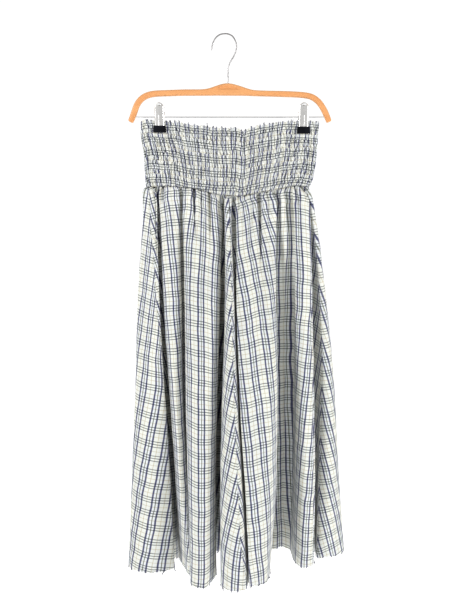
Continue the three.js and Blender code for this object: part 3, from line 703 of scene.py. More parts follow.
class Nodes:
    """Short names for building a material's nodes."""

    def __init__(self, name, roughness=0.8, metallic=0.0):
        self.mat = bpy.data.materials.new(name)
        self.mat.use_nodes = True
        self.tree = self.mat.node_tree
        self.shader = self.tree.nodes["Principled BSDF"]
        self.shader.inputs["Roughness"].default_value = roughness
        self.shader.inputs["Metallic"].default_value = metallic

    def put(self, socket, value):
        if isinstance(value, bpy.types.NodeSocket):
            self.tree.links.new(value, socket)
        else:
            socket.default_value = value

    def math(self, op, a, b=0.0, c=0.0, clamp=False):
        n = self.tree.nodes.new("ShaderNodeMath")
        n.operation = op
        n.use_clamp = clamp
        for socket, value in zip(n.inputs, (a, b, c)):
            self.put(socket, value)
        return n.outputs[0]

    def ramp(self, x, lo, hi, out_lo=0.0, out_hi=1.0):
        n = self.tree.nodes.new("ShaderNodeMapRange")
        n.interpolation_type = "SMOOTHSTEP"
        for name, value in (("Value", x), ("From Min", lo), ("From Max", hi), ("To Min", out_lo), ("To Max", out_hi)):
            self.put(n.inputs[name], value)
        return n.outputs["Result"]

    def noise(self, vector, scale, detail=2.0, rough=0.5):
        n = self.tree.nodes.new("ShaderNodeTexNoise")
        self.put(n.inputs["Vector"], vector)
        n.inputs["Scale"].default_value = scale
        n.inputs["Detail"].default_value = detail
        n.inputs["Roughness"].default_value = rough
        return n.outputs["Fac"]

    def mix(self, factor, a, b, blend="MIX"):
        n = self.tree.nodes.new("ShaderNodeMix")
        n.data_type = "RGBA"
        n.blend_type = blend
        self.put(n.inputs["Factor"], factor)
        self.put(n.inputs[6], a)
        self.put(n.inputs[7], b)
        return n.outputs[2]

    def scaled(self, vector, x, y, z=1.0):
        n = self.tree.nodes.new("ShaderNodeMapping")
        self.put(n.inputs["Vector"], vector)
        n.inputs["Scale"].default_value = (x, y, z)
        return n.outputs["Vector"]

    def bump(self, height, strength, distance, normal=None):
        n = self.tree.nodes.new("ShaderNodeBump")
        n.inputs["Strength"].default_value = strength
        n.inputs["Distance"].default_value = distance
        self.put(n.inputs["Height"], height)
        if normal is not None:
            self.put(n.inputs["Normal"], normal)
        return n.outputs["Normal"]

    def where(self, kind="Object"):
        return self.tree.nodes.new("ShaderNodeTexCoord").outputs[kind]

    def set(self, **inputs):
        for name, value in inputs.items():
            self.put(self.shader.inputs[name.replace("_", " ")], value)
        return self.mat


CREAM = srgb(229, 230, 224)
# (place in the repeat, width, softness, colour laid over), in mm
WARP = (
    (6.75, 3.2, 0.25, srgb(80, 82, 128)),
    (19.25, 3.2, 0.25, srgb(80, 82, 128)),
    (13.0, 1.7, 0.2, srgb(140, 143, 128)),
    (29.0, 1.0, 0.3, srgb(222, 212, 190)),
)
WEFT = (
    (7.1, 1.8, 0.25, srgb(128, 134, 136)),
    (13.0, 1.8, 0.25, srgb(128, 134, 136)),
    (18.9, 1.8, 0.25, srgb(128, 134, 136)),
    (29.0, 1.0, 0.3, srgb(222, 212, 190)),
)


def checked_cotton(name, crinkle=1.0, painted_shade_scale=1.0):
    """Woven cotton with the check: the UV map counts repeats across and down."""
    n = Nodes(name, roughness=0.92)
    uvmap = n.tree.nodes.new("ShaderNodeUVMap")
    uvmap.uv_map = "cloth"
    uv = uvmap.outputs["UV"]
    split = n.tree.nodes.new("ShaderNodeSeparateXYZ")
    n.put(split.inputs[0], uv)
    wander_u = n.math("MULTIPLY", n.math("SUBTRACT", n.noise(n.scaled(uv, 2.0, 1.2), 1.0, 1.0), 0.5), 0.035)
    wander_v = n.math("MULTIPLY", n.math("SUBTRACT", n.noise(n.scaled(uv, 1.3, 2.3), 1.0, 1.0), 0.5), 0.05)
    u = n.math("FRACT", n.math("ADD", split.outputs["X"], wander_u))
    v = n.math("FRACT", n.math("ADD", split.outputs["Y"], wander_v))
    # slubs: each yarn is a little uneven along its length
    slub_u = n.noise(n.scaled(uv, 46.0, 1.6), 1.0, 1.0)
    slub_v = n.noise(n.scaled(uv, 1.6, 46.0), 1.0, 1.0)
    # the cream ground tones are scaled by the factor given; below 1 this is painted shade, a darker copy of the same
    # cotton
    light, dim = (tuple(c * painted_shade_scale for c in tone[:3]) + (1.0,) for tone in (CREAM, srgb(223, 225, 222)))
    colour = n.mix(n.ramp(n.noise(n.scaled(uv, 0.6, 0.4), 1.0, 2.0), 0.35, 0.7), light, dim)
    # the white between the navy yarns is cooler than the cream squares
    band = n.math("SUBTRACT", 1.0, n.ramp(n.math("ABSOLUTE", n.math("SUBTRACT", u, 13.0 / CHECK)), 5.0 / CHECK, 8.5 / CHECK))
    colour = n.mix(n.math("MULTIPLY", band, 0.55), colour, srgb(222, 226, 232))
    for axis, slub, stripes in ((u, slub_u, WARP), (v, slub_v, WEFT)):
        for place, width, soft, over in stripes:
            away = n.math("ABSOLUTE", n.math("SUBTRACT", axis, place / CHECK))
            mask = n.math("SUBTRACT", 1.0, n.ramp(away, (width / 2 - soft) / CHECK, (width / 2 + soft) / CHECK))
            mask = n.math("MULTIPLY", mask, n.ramp(slub, 0.15, 0.85, 0.78, 1.0))
            colour = n.mix(mask, colour, over, "MULTIPLY")
    fleck = n.ramp(n.noise(n.scaled(uv, 60.0, 60.0), 1.0, 1.0), 0.3, 0.7, 0.94, 1.03)
    grain = n.tree.nodes.new("ShaderNodeCombineColor")
    for socket in grain.inputs[:3]:
        n.put(socket, fleck)
    colour = n.mix(1.0, colour, grain.outputs[0], "MULTIPLY")
    yarns = n.math("ADD", n.math("MULTIPLY", slub_u, 0.5), n.math("MULTIPLY", slub_v, 0.5))
    normal = n.bump(yarns, 0.35, 0.0006)
    crumple = n.noise(n.scaled(uv, 5.2, 3.1), 1.0, 3.0, 0.55)
    normal = n.bump(crumple, 0.45 * crinkle, 0.0026, normal)
    n.shader.inputs["Sheen Weight"].default_value = 0.12
    n.shader.inputs["Sheen Roughness"].default_value = 0.6
    n.shader.inputs["Specular IOR Level"].default_value = 0.18
    return n.set(Base_Color=colour, Normal=normal)


def thread(name, colour):
    n = Nodes(name, roughness=0.85)
    twist = n.noise(n.scaled(n.where(), 900.0, 900.0, 2400.0), 1.0, 1.0)
    shade = n.mix(n.ramp(twist, 0.3, 0.7), colour, tuple(c * 0.72 for c in colour[:3]) + (1.0,))
    n.shader.inputs["Specular IOR Level"].default_value = 0.2
    return n.set(Base_Color=shade, Normal=n.bump(twist, 0.5, 0.0002))


def apricot_plastic():
    n = Nodes("apricot_plastic", roughness=0.42)
    place = n.where()
    cloud = n.noise(n.scaled(place, 9.0, 9.0, 30.0), 1.0, 2.0)
    colour = n.mix(n.ramp(cloud, 0.35, 0.65), srgb(224, 171, 121), srgb(218, 163, 113))
    fine = n.noise(place, 2200.0, 2.0)
    rough = n.ramp(n.noise(place, 160.0, 2.0), 0.3, 0.7, 0.36, 0.5)
    n.shader.inputs["Specular IOR Level"].default_value = 0.4
    return n.set(Base_Color=colour, Roughness=rough, Normal=n.bump(fine, 0.12, 0.0004))


def metal(name, colour, rough_lo, rough_hi, drawn=(1.0, 1.0, 1.0), bump=0.1):
    n = Nodes(name, roughness=rough_lo, metallic=1.0)
    place = n.where()
    streak = n.noise(n.scaled(place, 420.0 * drawn[0], 420.0 * drawn[1], 420.0 * drawn[2]), 1.0, 2.0)
    shade = n.mix(n.ramp(streak, 0.3, 0.7), colour, tuple(c * 0.8 for c in colour[:3]) + (1.0,))
    return n.set(Base_Color=shade, Roughness=n.ramp(streak, 0.3, 0.7, rough_lo, rough_hi),
                 Normal=n.bump(streak, bump, 0.0003))


def black_rubber():
    n = Nodes("black_rubber", roughness=0.55)
    place = n.where()
    grain = n.noise(place, 1500.0, 2.0)
    colour = n.mix(n.ramp(n.noise(place, 90.0, 2.0), 0.35, 0.7), srgb(19, 20, 26), srgb(29, 30, 37))
    n.shader.inputs["Specular IOR Level"].default_value = 0.12
    return n.set(Base_Color=colour, Roughness=n.ramp(grain, 0.3, 0.7, 0.5, 0.7), Normal=n.bump(grain, 0.2, 0.0003))


COTTON = checked_cotton("checked_cotton")
# the yoke's copy is darkened a little all over as painted shade, standing in for the shadow among its dense puckers;
# its stronger crinkle is a real bump
SHIRRED = checked_cotton("checked_cotton_shirred", crinkle=1.5, painted_shade_scale=0.985)
NAVY_THREAD = thread("navy_thread", srgb(50, 52, 74))
# dark thread for the waist seam: partly real stitching and partly painted shade, its dark line standing in for the
# shadow where the skirt tucks under the yoke
SEAM_THREAD_AND_SHADE = thread("seam_thread_and_painted_shade", srgb(88, 90, 98))
PALE_THREAD = thread("pale_thread", srgb(232, 231, 222))
APRICOT = apricot_plastic()
CHROME = metal("hook_chrome", srgb(160, 158, 158), 0.34, 0.4, (0.1, 0.1, 0.1), 0.02)
STEEL = metal("clip_steel", srgb(236, 235, 233), 0.22, 0.38, (2.0, 1.0, 0.15), 0.2)
ROD_STEEL = metal("rod_steel", srgb(210, 210, 210), 0.25, 0.4, (0.1, 2.0, 2.0), 0.15)
RUBBER = black_rubber()

# ------------------------------------------------------------------ the gores
CLOTH_HALF = 0.45


def gore(name, k0, k1, cols, hidden, anchors, ease, seed, phase):
    ts, base, k, arc = panel(k0, k1, cols)
    depth = np.array([ring(t)[:, 2].mean() for t in ts])
    down = (-(base[..., 2]) + 328)  # rough height below the seam, for slow variation
    below = np.zeros_like(down)
    for j, t in enumerate(ts):
        start = np.array([run[0] for run in RUNS])
        s_here = np.interp(k[j] % COUNT, np.arange(COUNT + 1), np.append(start, start[0]))
        below[j] = s_here - base[j, :, 2]
    n = normals(base)
    edge = np.minimum(arc, arc[:, -1:] - arc)
    inside = smooth(0, 16, edge)
    h = gathers(k, below) + creases(k, arc, below)
    # the top edge is tucked under the yoke
    h -= 3.4 * np.exp(-((below / 2.4) ** 2))
    h += inside * 0.55 * noise(arc / 23.0 + seed, base[..., 2] / 41.0, seed + 1) * smooth(0, 90, below)
    h += inside * 0.28 * noise(arc / 8.0 + seed, base[..., 2] / 15.0, seed + 2)
    # the seams sink a little, and pucker along their stitching
    sink = np.exp(-((edge / 1.7) ** 2))
    h -= 0.75 * sink
    h += 0.35 * np.exp(-((edge / 5.0) ** 2)) * np.sin(base[..., 2] / 1.9) * (1 - sink)
    # a narrow hem, turned up once
    to_hem = below[-1:] - below
    h += 0.35 * (1 - smooth(6.0, 7.2, to_hem)) - 0.3 * np.exp(-(((to_hem - 7.4) / 0.9) ** 2))
    p = base + n * h[..., None]
    # the cut edge of the hem is never quite level
    uneven = 1.1 * noise(arc[-1] / 17.0, 0.0, seed + 3) + 0.7 * noise(arc[-1] / 5.0, 3.0, seed + 4)
    p[..., 2] += uneven[None, :] * np.exp(-((to_hem / 9.0) ** 2)) * smooth(0, 6, edge[-1])[None, :]
    # deep in the two widest folds the cloth drops a little
    low = 24.0 * np.exp(-(((k - 4.9) / 0.55) ** 2)) + 17.0 * np.exp(-(((k - 15.4) / 0.7) ** 2))
    p[..., 2] -= low * (1 - smooth(0, 260, to_hem))
    # pull the two edges in by half of the seam's gap
    for side, sign in ((0, 1), (-1, -1)):
        along = unit(base[:, 1] - base[:, 0]) if side == 0 else unit(base[:, -1] - base[:, -2])
        p[:, side] += sign * 0.1 * along
    m = normals(p)
    u, v = flat_places(ts, k, arc, base, hidden, anchors, ease)
    u = u + 1.0 * noise(arc / 60.0, base[..., 2] / 45.0, seed + 5)
    v = v + 1.5 * noise(arc / 38.0, base[..., 2] / 70.0, seed + 6)
    uv = np.stack([(u + phase[0]) / CHECK + 20, (v + phase[1]) / CHECK_DOWN + 20], -1)
    piece = shell("cloth_" + name, p + m * CLOTH_HALF, p - m * CLOTH_HALF, uv, COTTON)
    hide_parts(name)
    return p, m, uv, k, arc


# hidden stretches, and where the warp hangs: fold line, lean at top and hem, shift
GORES = {
    "skirt_front_left": gore("skirt_front_left", seam_left, seam_front, 196,
                             ((3.6, 5.6), (8.6, 9.4), (13.9, 16.8)),
                             ((7.0, 7.0, 1.0, 2.0), (11.6, 1.2, -0.5, 13.0)), 1.45, 21, (30.0, 0.0)),
    "skirt_front_right": gore("skirt_front_right", seam_front, lambda t: SIDE_RIGHT, 196,
                              ((19.9, 21.6), (27.0, 28.6), (31.1, 32.1), (34.4, 36.9)),
                              ((24.6, 8.5, 4.5, -10.0), (29.8, -1.0, 2.0, 1.0), (33.0, 3.5, -2.0, -11.5, -7.0)),
                              1.45, 31, (3.0, 0.0)),
    "skirt_back_right": gore("skirt_back_right", lambda t: SIDE_RIGHT, lambda t: CENTRE_BACK, 158,
                             ((39.2, CENTRE_BACK - 0.5),), (), 1.3, 41, (21.0, 0.0)),
    "skirt_back_left": gore("skirt_back_left", lambda t: CENTRE_BACK, lambda t: COUNT + seam_left(t), 168,
                            ((CENTRE_BACK + 0.5, COUNT - 0.5),), ((COUNT + 0.55, -8.0, -8.5, -5.0),), 1.3, 51,
                            (13.0, 0.0)),
}


# ------------------------------------------------------------------ the shirred yoke
SHIRR_PITCH = 9.6  # between rows of elastic
HEADER = 8.0  # free ruffle above the first row
# drag wrinkles: from (across, height) to (across, height), half width, how proud
DRAGS = (
    (-128, -196, -60, -262, 5.0, 1.5),
    (-131, -214, -78, -292, 5.5, 1.4),
    (-122, -190, -30, -236, 4.5, 1.1),
    (-150, -214, -158, -300, 5.0, 1.0),
    (-126, -226, -96, -312, 4.5, 1.2),
    (158, -200, 96, -250, 5.0, 1.3),
    (160, -216, 116, -290, 5.0, 1.2),
    (156, -194, 60, -228, 4.5, 1.0),
    (178, -216, 190, -290, 4.5, 0.9),
    (40, -204, 34, -300, 5.0, 1.1),
)


def ridge(x, z, x0, z0, x1, z1, half, high):
    dx, dz = x1 - x0, z1 - z0
    length = math.hypot(dx, dz)
    s = ((x - x0) * dx + (z - z0) * dz) / length
    w = ((x - x0) * -dz + (z - z0) * dx) / length
    w = w + 3.0 * np.sin(s / 17.0)
    ends = smooth(-6, 14, s) * (1 - smooth(length * 0.55, length + 10, s))
    return high * np.exp(-((w / half) ** 2)) * ends - 0.55 * high * np.exp(-(((w - 1.7 * half) / half) ** 2)) * ends


NICK = 41.0


def yoke(name, side, seed):
    rows, cols = (96, 476) if side > 0 else (76, 340)
    u = np.linspace(0.0035, 0.9965, cols)
    xi = 0.6 * (2 * u - 1) + 0.4 * np.sin(math.pi * (u - 0.5))
    shares = np.linspace(1, 0, rows)
    base = np.zeros((rows, cols, 3))
    for j, share in enumerate(shares):
        lo, hi = float(left_end(share)), float(right_end(share))
        x = (lo + hi) / 2 + xi * (hi - lo) / 2
        z = (seam_edge(x) + GAP / 2) * (1 - share) + top_edge(x) * share
        base[j] = np.stack([x, -yoke_off(x, share, side), z], -1)
    tall = base[0, :, 2] - base[-1, :, 2]
    below = base[:1, :, 2] - base[..., 2]
    p = base
    m = normals(p)
    # a grid of the back runs the other way round: its outward side is turned about
    m = m if side > 0 else -m
    x, z = base[..., 0], base[..., 2]
    arc = np.concatenate([np.zeros((rows, 1)), np.cumsum(np.linalg.norm(np.diff(base, axis=1), axis=2), axis=1)], 1)
    held = np.zeros_like(x)
    for _, centre, lower in CLIPS:
        held = np.maximum(held, (1 - smooth(13, 22, np.abs(x - centre))) * smooth(lower - 16, lower - 2, z))
    # shirring: between two rows of elastic the cloth stands out in short uneven puckers
    row_at = (below - HEADER) / SHIRR_PITCH + 0.10 * noise(x / 30.0, below / 40.0, seed + 12)
    row_no = np.floor(row_at)
    bulge = np.where(row_at > 0, np.abs(np.sin(math.pi * row_at)) ** 0.6, 0.0)
    wander = 1.9 * noise(x / 19.0, row_no * 1.7 + seed, seed) + 1.0 * noise(x / 8.0, row_no * 2.3, seed + 1)
    lean = 3.2 * noise(row_no * 0.37 + 5, x / 40.0, seed + 2) * (row_at - row_no)
    tuck = rounded(np.cos(2 * math.pi * (arc + wander * 2.4 + lean) / 6.9))
    small = np.cos(2 * math.pi * (arc * 1.9 + wander * 3.0 - lean) / 6.9)
    strong = 0.85 + 0.5 * noise(x / 13.0, row_no * 3.1, seed + 3)
    h = (0.5 * bulge + (0.3 + 0.7 * bulge) * (2.8 * tuck * strong + 0.9 * small))
    # the header above the first row is a free ruffle
    free = 1 - smooth(HEADER - 3.0, HEADER + 0.5, below)
    wave = np.cos(2 * math.pi * (arc + 5 * noise(x / 24.0, 0.3, seed + 4)) / 13.3)
    wave = wave + 0.5 * np.cos(2 * math.pi * (arc + 3 * noise(x / 11.0, 2.3, seed + 5)) / 7.1)
    h += free * 1.9 * wave * (1 - below / (HEADER + 2))
    h -= 0.5 * np.exp(-(((below - HEADER) / 1.4) ** 2))
    # broad unevenness, and drag wrinkles down from the clips
    h += 0.8 * noise(x / 38.0, z / 30.0, seed + 6)
    if side > 0:
        for drag in DRAGS:
            h += ridge(x, z, *drag)
    else:
        for x0, z0, x1, z1, half, high in DRAGS[::2]:
            h += ridge(x, z, x0 + 6, z0 - 8, x1 - 10, z1, half, high * 0.8)
    h *= 1 - 0.93 * held
    h *= 0.55 + 0.45 * smooth(0, 5, tall[None, :] - below)
    above = tall[None, :] - below
    h += (1.1 * np.exp(-(((above - 4.5) / 2.6) ** 2)) - 1.7 * np.exp(-((above / 1.5) ** 2))) * (1 - held)
    edge = np.minimum(arc, arc[:, -1:] - arc)
    h = h * smooth(-2, 5, edge)
    p = base + m * h[..., None]
    # the raw top edge is uneven
    lift = 1.3 * noise(x[0] / 7.0, 0.0, seed + 7) + 0.9 * noise(x[0] / 2.6, 4.0, seed + 8)
    lift = lift * (1 - 0.8 * held[0])
    p[..., 2] += lift[None, :] * np.exp(-((below / 5.0) ** 2))
    if side > 0:
        # one nick in the front's top edge, right of the middle
        p[..., 2] -= 5.5 * np.exp(-(((x - NICK) / 3.4) ** 2)) * np.exp(-((below / 9.0) ** 2))
        p[..., 1] += 3.2 * np.exp(-(((x - NICK) / 2.6) ** 2)) * np.exp(-((below / 17.0) ** 2))
    m = normals(p)
    m = m if side > 0 else -m
    # the warp closes in towards the middle on its way down, most at the left
    middle = arc - arc[:, -1:] / 2
    middle = middle * (arc[0, -1] / arc[:, -1:])
    down = below / tall[None, :]
    middle = middle - down * (17.0 * np.exp(-(((x + 112) / 62) ** 2)) - 7.0 * np.exp(-(((x - 120) / 60) ** 2)))
    uu = (middle * YOKE_FULLNESS + 1.4 * wander) / CHECK
    vv = below / 28.7 + 0.03 * noise(x / 26.0, z / 40.0, seed + 10)
    uv = np.stack([uu + 40, vv + 40], -1)
    outer, inner = p + m * CLOTH_HALF, p - m * CLOTH_HALF
    if side < 0:
        outer, inner = inner, outer
    piece = shell("cloth_" + name, outer, inner, uv, SHIRRED)
    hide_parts(name)
    return p, m, below, arc, uv


YOKES = {"yoke_front": yoke("yoke_front", 1, 61), "yoke_back": yoke("yoke_back", -1, 81)}


# ------------------------------------------------------------------ the hanger
def bar():
    across, height, tall = (np.array([row[i] for row in BAR]) for i in range(3))
    s = np.concatenate([[0], np.cumsum(np.hypot(np.diff(across), np.diff(height)))])
    fa, fh, ft = through(s, across), through(s, height), through(s, tall)
    n = 190
    at = np.linspace(0, s[-1], n)
    x, z, t = fa(at), fh(at), ft(at)
    k = np.array([1, 4, 6, 4, 1]) / 16
    for _ in range(4):
        for arr in (x, z, t):
            arr[2:-2] = np.convolve(arr, k, "same")[2:-2]
    centre = np.stack([x, np.zeros(n), z], -1)
    along = unit(np.gradient(centre, axis=0))
    up = np.stack([-along[:, 2], np.zeros(n), along[:, 0]], -1)
    steps = 26
    half_turn = np.linspace(-1, 1, steps)
    level = np.sin(half_turn * math.pi / 2)  # -1 at the underside, 1 at the top
    rings = []
    for j in range(n):
        size = t[j]
        z_up = level * size / 2
        lower_top = -size / 2 + 12.2
        band_low = size / 2 - 5.0
        web = float(smooth(1.0, 5.5, band_low - lower_top))
        gap = smooth(lower_top - 0.6, lower_top + 0.9, z_up) * (1 - smooth(band_low - 0.9, band_low + 0.6, z_up))
        half = 4.5 * (1 - np.abs(level) ** 7) ** 0.5
        half = half * (1 - 0.58 * web * gap)
        # a soft groove along the underside of the face, where the two mould halves meet
        half = half - 0.35 * np.exp(-(((z_up + size / 2 - 2.6) / 0.8) ** 2))
        half = half * (1 - 0.30 * np.clip((z_up - (size / 2 - 4.2)) / 4.2, 0, 1) ** 1.5)
        half = np.maximum(half, 0.03)
        front = centre[j] + up[j] * z_up[:, None] + np.stack([0 * half, -half, 0 * half], -1)
        back = centre[j] + up[j] * z_up[:, None] + np.stack([0 * half, half, 0 * half], -1)
        rings.append(np.concatenate([front, back[::-1][1:-1]]))
    # rounded ends
    def shrunk(j, factor, push):
        return centre[j] + (rings[j] - centre[j]) * factor + along[j] * push

    head = [shrunk(0, f, d) for f, d in ((0.55, -2.3), (0.8, -1.8), (0.94, -0.9))]
    tail = [shrunk(-1, f, d) for f, d in ((0.94, 0.9), (0.8, 1.8), (0.55, 2.3))]
    rings = head + rings + tail
    sides = len(rings[0])
    faces = []
    for j in range(len(rings) - 1):
        for i in range(sides):
            i2 = (i + 1) % sides
            faces.append((j * sides + i, (j + 1) * sides + i, (j + 1) * sides + i2, j * sides + i2))
    faces.append(tuple(range(sides)))
    faces.append(tuple((len(rings) - 1) * sides + i for i in range(sides))[::-1])
    piece = build("bar", np.concatenate(rings), faces, APRICOT)
    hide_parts("hanger_bar")
    return piece


bar()

hook_points = catmull([(x, 0, z) for x, z in HOOK], 14)
hook = build("hook", *tube(hook_points, 1.25, 20), CHROME)
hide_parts("hanger_hook")

rod_points = np.array([(x, 0, ROD_HEIGHT) for x in np.linspace(-197, 220.5, 60)])
rod = build("rod", *tube(rod_points, 1.0, 16), ROD_STEEL)
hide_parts("clip_rod")



def pressed(name, across, profile, half, wide_at, side, thick, hole=None, ridge_from=None):
    """A pressed steel strip: profile gives (height, distance from the rod's plane)."""
    rows, cols = 96, 34
    heights, away = (np.array([row[i] for row in profile][::-1], float) for i in (0, 1))
    top, low = heights[-1], heights[0]
    z = top - (top - low) * np.linspace(0, 1, rows) ** 1.15
    dist = through(heights, away)(z)
    s = np.linspace(-1, 1, cols)
    outer = np.zeros((rows, cols, 3))
    for j in range(rows):
        w = half * wide_at(top - z[j])
        lift = 0.7 * (1 - s ** 2)
        # the long edges are rolled back, and a rib runs down the lower part
        lift = lift - 0.9 * smooth(0.82, 1.0, np.abs(s))
        if ridge_from is not None:
            lift = lift + 0.55 * np.exp(-((s / 0.14) ** 2)) * float(smooth(0, 5, ridge_from - z[j]))
        outer[j] = np.stack([across + s * w, -side * (dist[j] + lift + thick / 2), np.full(cols, z[j])], -1)
    inner = outer + np.array([0, side * thick, 0.0])
    a, b = outer.reshape(-1, 3).copy(), inner.reshape(-1, 3).copy()
    idx = np.arange(rows * cols).reshape(rows, cols)
    quads = np.stack([idx[:-1, :-1], idx[1:, :-1], idx[1:, 1:], idx[:-1, 1:]], -1).reshape(-1, 4)
    if hole is not None:
        hz, wide, tall = hole
        ex, ez = (a[:, 0] - across) / wide, (a[:, 2] - hz) / tall
        far = np.hypot(ex, ez)
        quads = quads[far[quads].mean(1) > 1.0]
        used = np.zeros(len(a), bool)
        used[quads] = True
        near = used & (far < 1.35)
        count = {}
        for q in quads:
            for e in range(4):
                key = tuple(sorted((int(q[e]), int(q[(e + 1) % 4]))))
                count[key] = count.get(key, 0) + 1
        rim = {v for key, c in count.items() if c == 1 for v in key if near[v]}
        for v in rim:
            for grid in (a, b):
                grid[v, 0] = across + ex[v] / far[v] * wide
                grid[v, 2] = hz + ez[v] / far[v] * tall
    edges = {}
    for q in quads:
        for e in range(4):
            u0, u1 = int(q[e]), int(q[(e + 1) % 4])
            if (u1, u0) in edges:
                del edges[(u1, u0)]
            else:
                edges[(u0, u1)] = True
    n = len(a)
    faces = [tuple(q) for q in quads] + [tuple(q[::-1] + n) for q in quads]
    faces += [(u1, u0, u0 + n, u1 + n) for u0, u1 in edges]
    if side < 0:
        faces = [f[::-1] for f in faces]
    used = sorted({v for f in faces for v in f})
    place = {v: i for i, v in enumerate(used)}
    return np.concatenate([a, b])[used], [tuple(place[v] for v in f) for f in faces]


def lug(across, side, out):
    """A round ear that turns back from a plate's edge to the rod."""
    ang = np.linspace(0, 2 * math.pi, 25)[:-1]
    rings = []
    for x in (across - 0.45, across + 0.45):
        ring_ = np.stack([np.full(24, x), 3.4 * np.cos(ang), ROD_HEIGHT + 3.4 * np.sin(ang)], -1)
        back = ring_[:, 1] * -side > 0
        ring_[back, 1] *= out / 3.4
        rings.append(ring_)
    verts = np.concatenate(rings)
    faces = [(i, (i + 1) % 24, (i + 1) % 24 + 24, i + 24) for i in range(24)]
    faces += [tuple(range(24))[::-1], tuple(range(24, 48))]
    return verts, faces


def round_box(across, lower, side, wide, tall, near, thick):
    """A moulded jaw tip: rounded at every edge, with fine grooves along its foot."""
    steps = 44
    share = np.linspace(0, 1, 40)
    rings = []
    for v in share:
        z = lower + v * tall
        corner = 1 - (abs(2 * v - 1)) ** 7
        edge = corner ** 0.5 if corner > 0 else 0.0
        w = (wide / 2 - 1.1) + 1.1 * edge - 0.7 * v
        t = (thick / 2 - 0.9) + 0.9 * edge
        if 0.1 < v < 0.42:
            t -= 0.16 * (0.5 - 0.5 * math.cos(2 * math.pi * (v - 0.1) / 0.08))
        ang = np.linspace(0, 2 * math.pi, steps + 1)[:-1] + 0.01
        c, s_ = np.cos(ang), np.sin(ang)
        x = np.sign(c) * np.abs(c) ** 0.22 * w
        y = np.sign(s_) * np.abs(s_) ** 0.3 * t
        y = y - 0.5 * (x / w) ** 2 * (y > 0)
        rings.append(np.stack([across + x, -side * (near + thick / 2 + y), np.full(steps, z)], -1))
    verts = np.concatenate(rings)
    faces = []
    for j in range(len(rings) - 1):
        for i in range(steps):
            i2 = (i + 1) % steps
            faces.append((j * steps + i, j * steps + i2, (j + 1) * steps + i2, (j + 1) * steps + i))
    faces += [tuple(range(steps))[::-1], tuple((len(rings) - 1) * steps + i for i in range(steps))]
    if side > 0:
        faces = [f[::-1] for f in faces]
    return verts, faces


PLATE_TOP = -141.5
for _side, _across, _lower in CLIPS:
    _profile = ((PLATE_TOP, 7.9), (PLATE_TOP - 1.4, 8.5), (PLATE_TOP - 6.5, 8.3), (ROD_HEIGHT + 9, 7.0),
                (ROD_HEIGHT, 6.4), (ROD_HEIGHT - 9, 5.5), (_lower + 12.6, 4.7))

    def _wide(down):
        return 1 - 0.74 * (1 - min(down / 9.5, 1.0)) ** 2.2

    for _name, _way, _out in (("front", 1, 10.0), ("rear", -1, 8.9)):
        _plate = pressed("plate", _across, _profile, 10.0, _wide, _way, 0.9, (PLATE_TOP - 4.6, 3.6, 2.1) if _way > 0 else None, -165.0)
        _lugs = [lug(_across + e * _out, _way, 6.0) for e in (-1, 1)]
        _piece = build(f"clip_{_side}_{_name}_plate_pressed", *merge([_plate] + _lugs), STEEL)
        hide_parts(f"clip_{_side}_{_name}_plate")
        _tip = build(f"clip_{_side}_{_name}_tip", *round_box(_across, _lower, _way, 28.0, 14.0, 2.5, 4.5), RUBBER)
        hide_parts(f"clip_{_side}_{_name}_pad")
    _turn = np.linspace(0, 9 * 2 * math.pi, 9 * 18 + 1)
    _coil = np.stack([_across - 7.3 + 14.6 * _turn / _turn[-1], 3.4 * np.sin(_turn), ROD_HEIGHT + 3.4 * np.cos(_turn)], -1)
    _piece = build(f"clip_{_side}_coil", *tube(_coil, 0.62, 8), STEEL)
    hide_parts(f"clip_{_side}_spring")

# ------------------------------------------------------------------ threads and stitches
def loose_threads(name, edge, way, u, seed, lengths, radii, material, keep, pale=False, step=0.75):
    """Short cut threads along an edge, where the check's navy yarns (or the pale ones) end."""
    rng = np.random.default_rng(seed)
    s = np.concatenate([[0], np.cumsum(np.linalg.norm(np.diff(edge, axis=0), axis=1))])
    parts = []
    for at in np.arange(2.0, s[-1] - 2.0, step):
        here = np.array([np.interp(at, s, edge[:, c]) for c in range(3)])
        frac = np.interp(at, s, u) % 1
        navy = min(abs(frac - 6.75 / CHECK), abs(frac - 19.25 / CHECK)) < 1.7 / CHECK
        if navy == pale or rng.random() > keep:
            continue
        tuft = 0.45 + 0.9 * max(float(noise(at / 23.0, seed * 0.7, seed)) + 0.35, 0.0)
        long = rng.uniform(*lengths) * tuft
        here = here + rng.uniform(-0.25, 0.25, 3) * (1, 1, 0)
        sway = np.array([rng.uniform(-0.5, 0.5), rng.uniform(-0.4, 0.4), 0.0])
        path = [here - way * 1.4, here + way * long * 0.5 + sway * long * 0.3, here + way * long + sway * long * 0.9]
        parts.append(tube(catmull(path, 2), rng.uniform(*radii), 5, close=False))
    if not parts:
        return None
    piece = build(name, *merge(parts), material)
    return piece


DOWN, UP = np.array([0.0, 0.0, -1.0]), np.array([0.0, 0.0, 1.0])
for n, (gore_name, (p, m, uv, k, arc)) in enumerate(GORES.items()):
    label = gore_name.replace("skirt_", "")
    hem = p[-1]
    loose_threads("hem_threads_navy_" + label, hem, DOWN, uv[-1, :, 0], 100 + n, (1.5, 7.5), (0.36, 0.62), NAVY_THREAD, 0.6)
    loose_threads("hem_threads_pale_" + label, hem, DOWN, uv[-1, :, 0], 110 + n, (0.3, 2.4), (0.18, 0.3), PALE_THREAD, 0.16, True)
for n, (yoke_name, (p, m, below, arc, uv)) in enumerate(YOKES.items()):
    loose_threads("top_threads_navy_" + yoke_name, p[0], UP, uv[0, :, 0], 120 + n, (1.2, 5.0), (0.32, 0.55), NAVY_THREAD, 0.6, step=0.6)


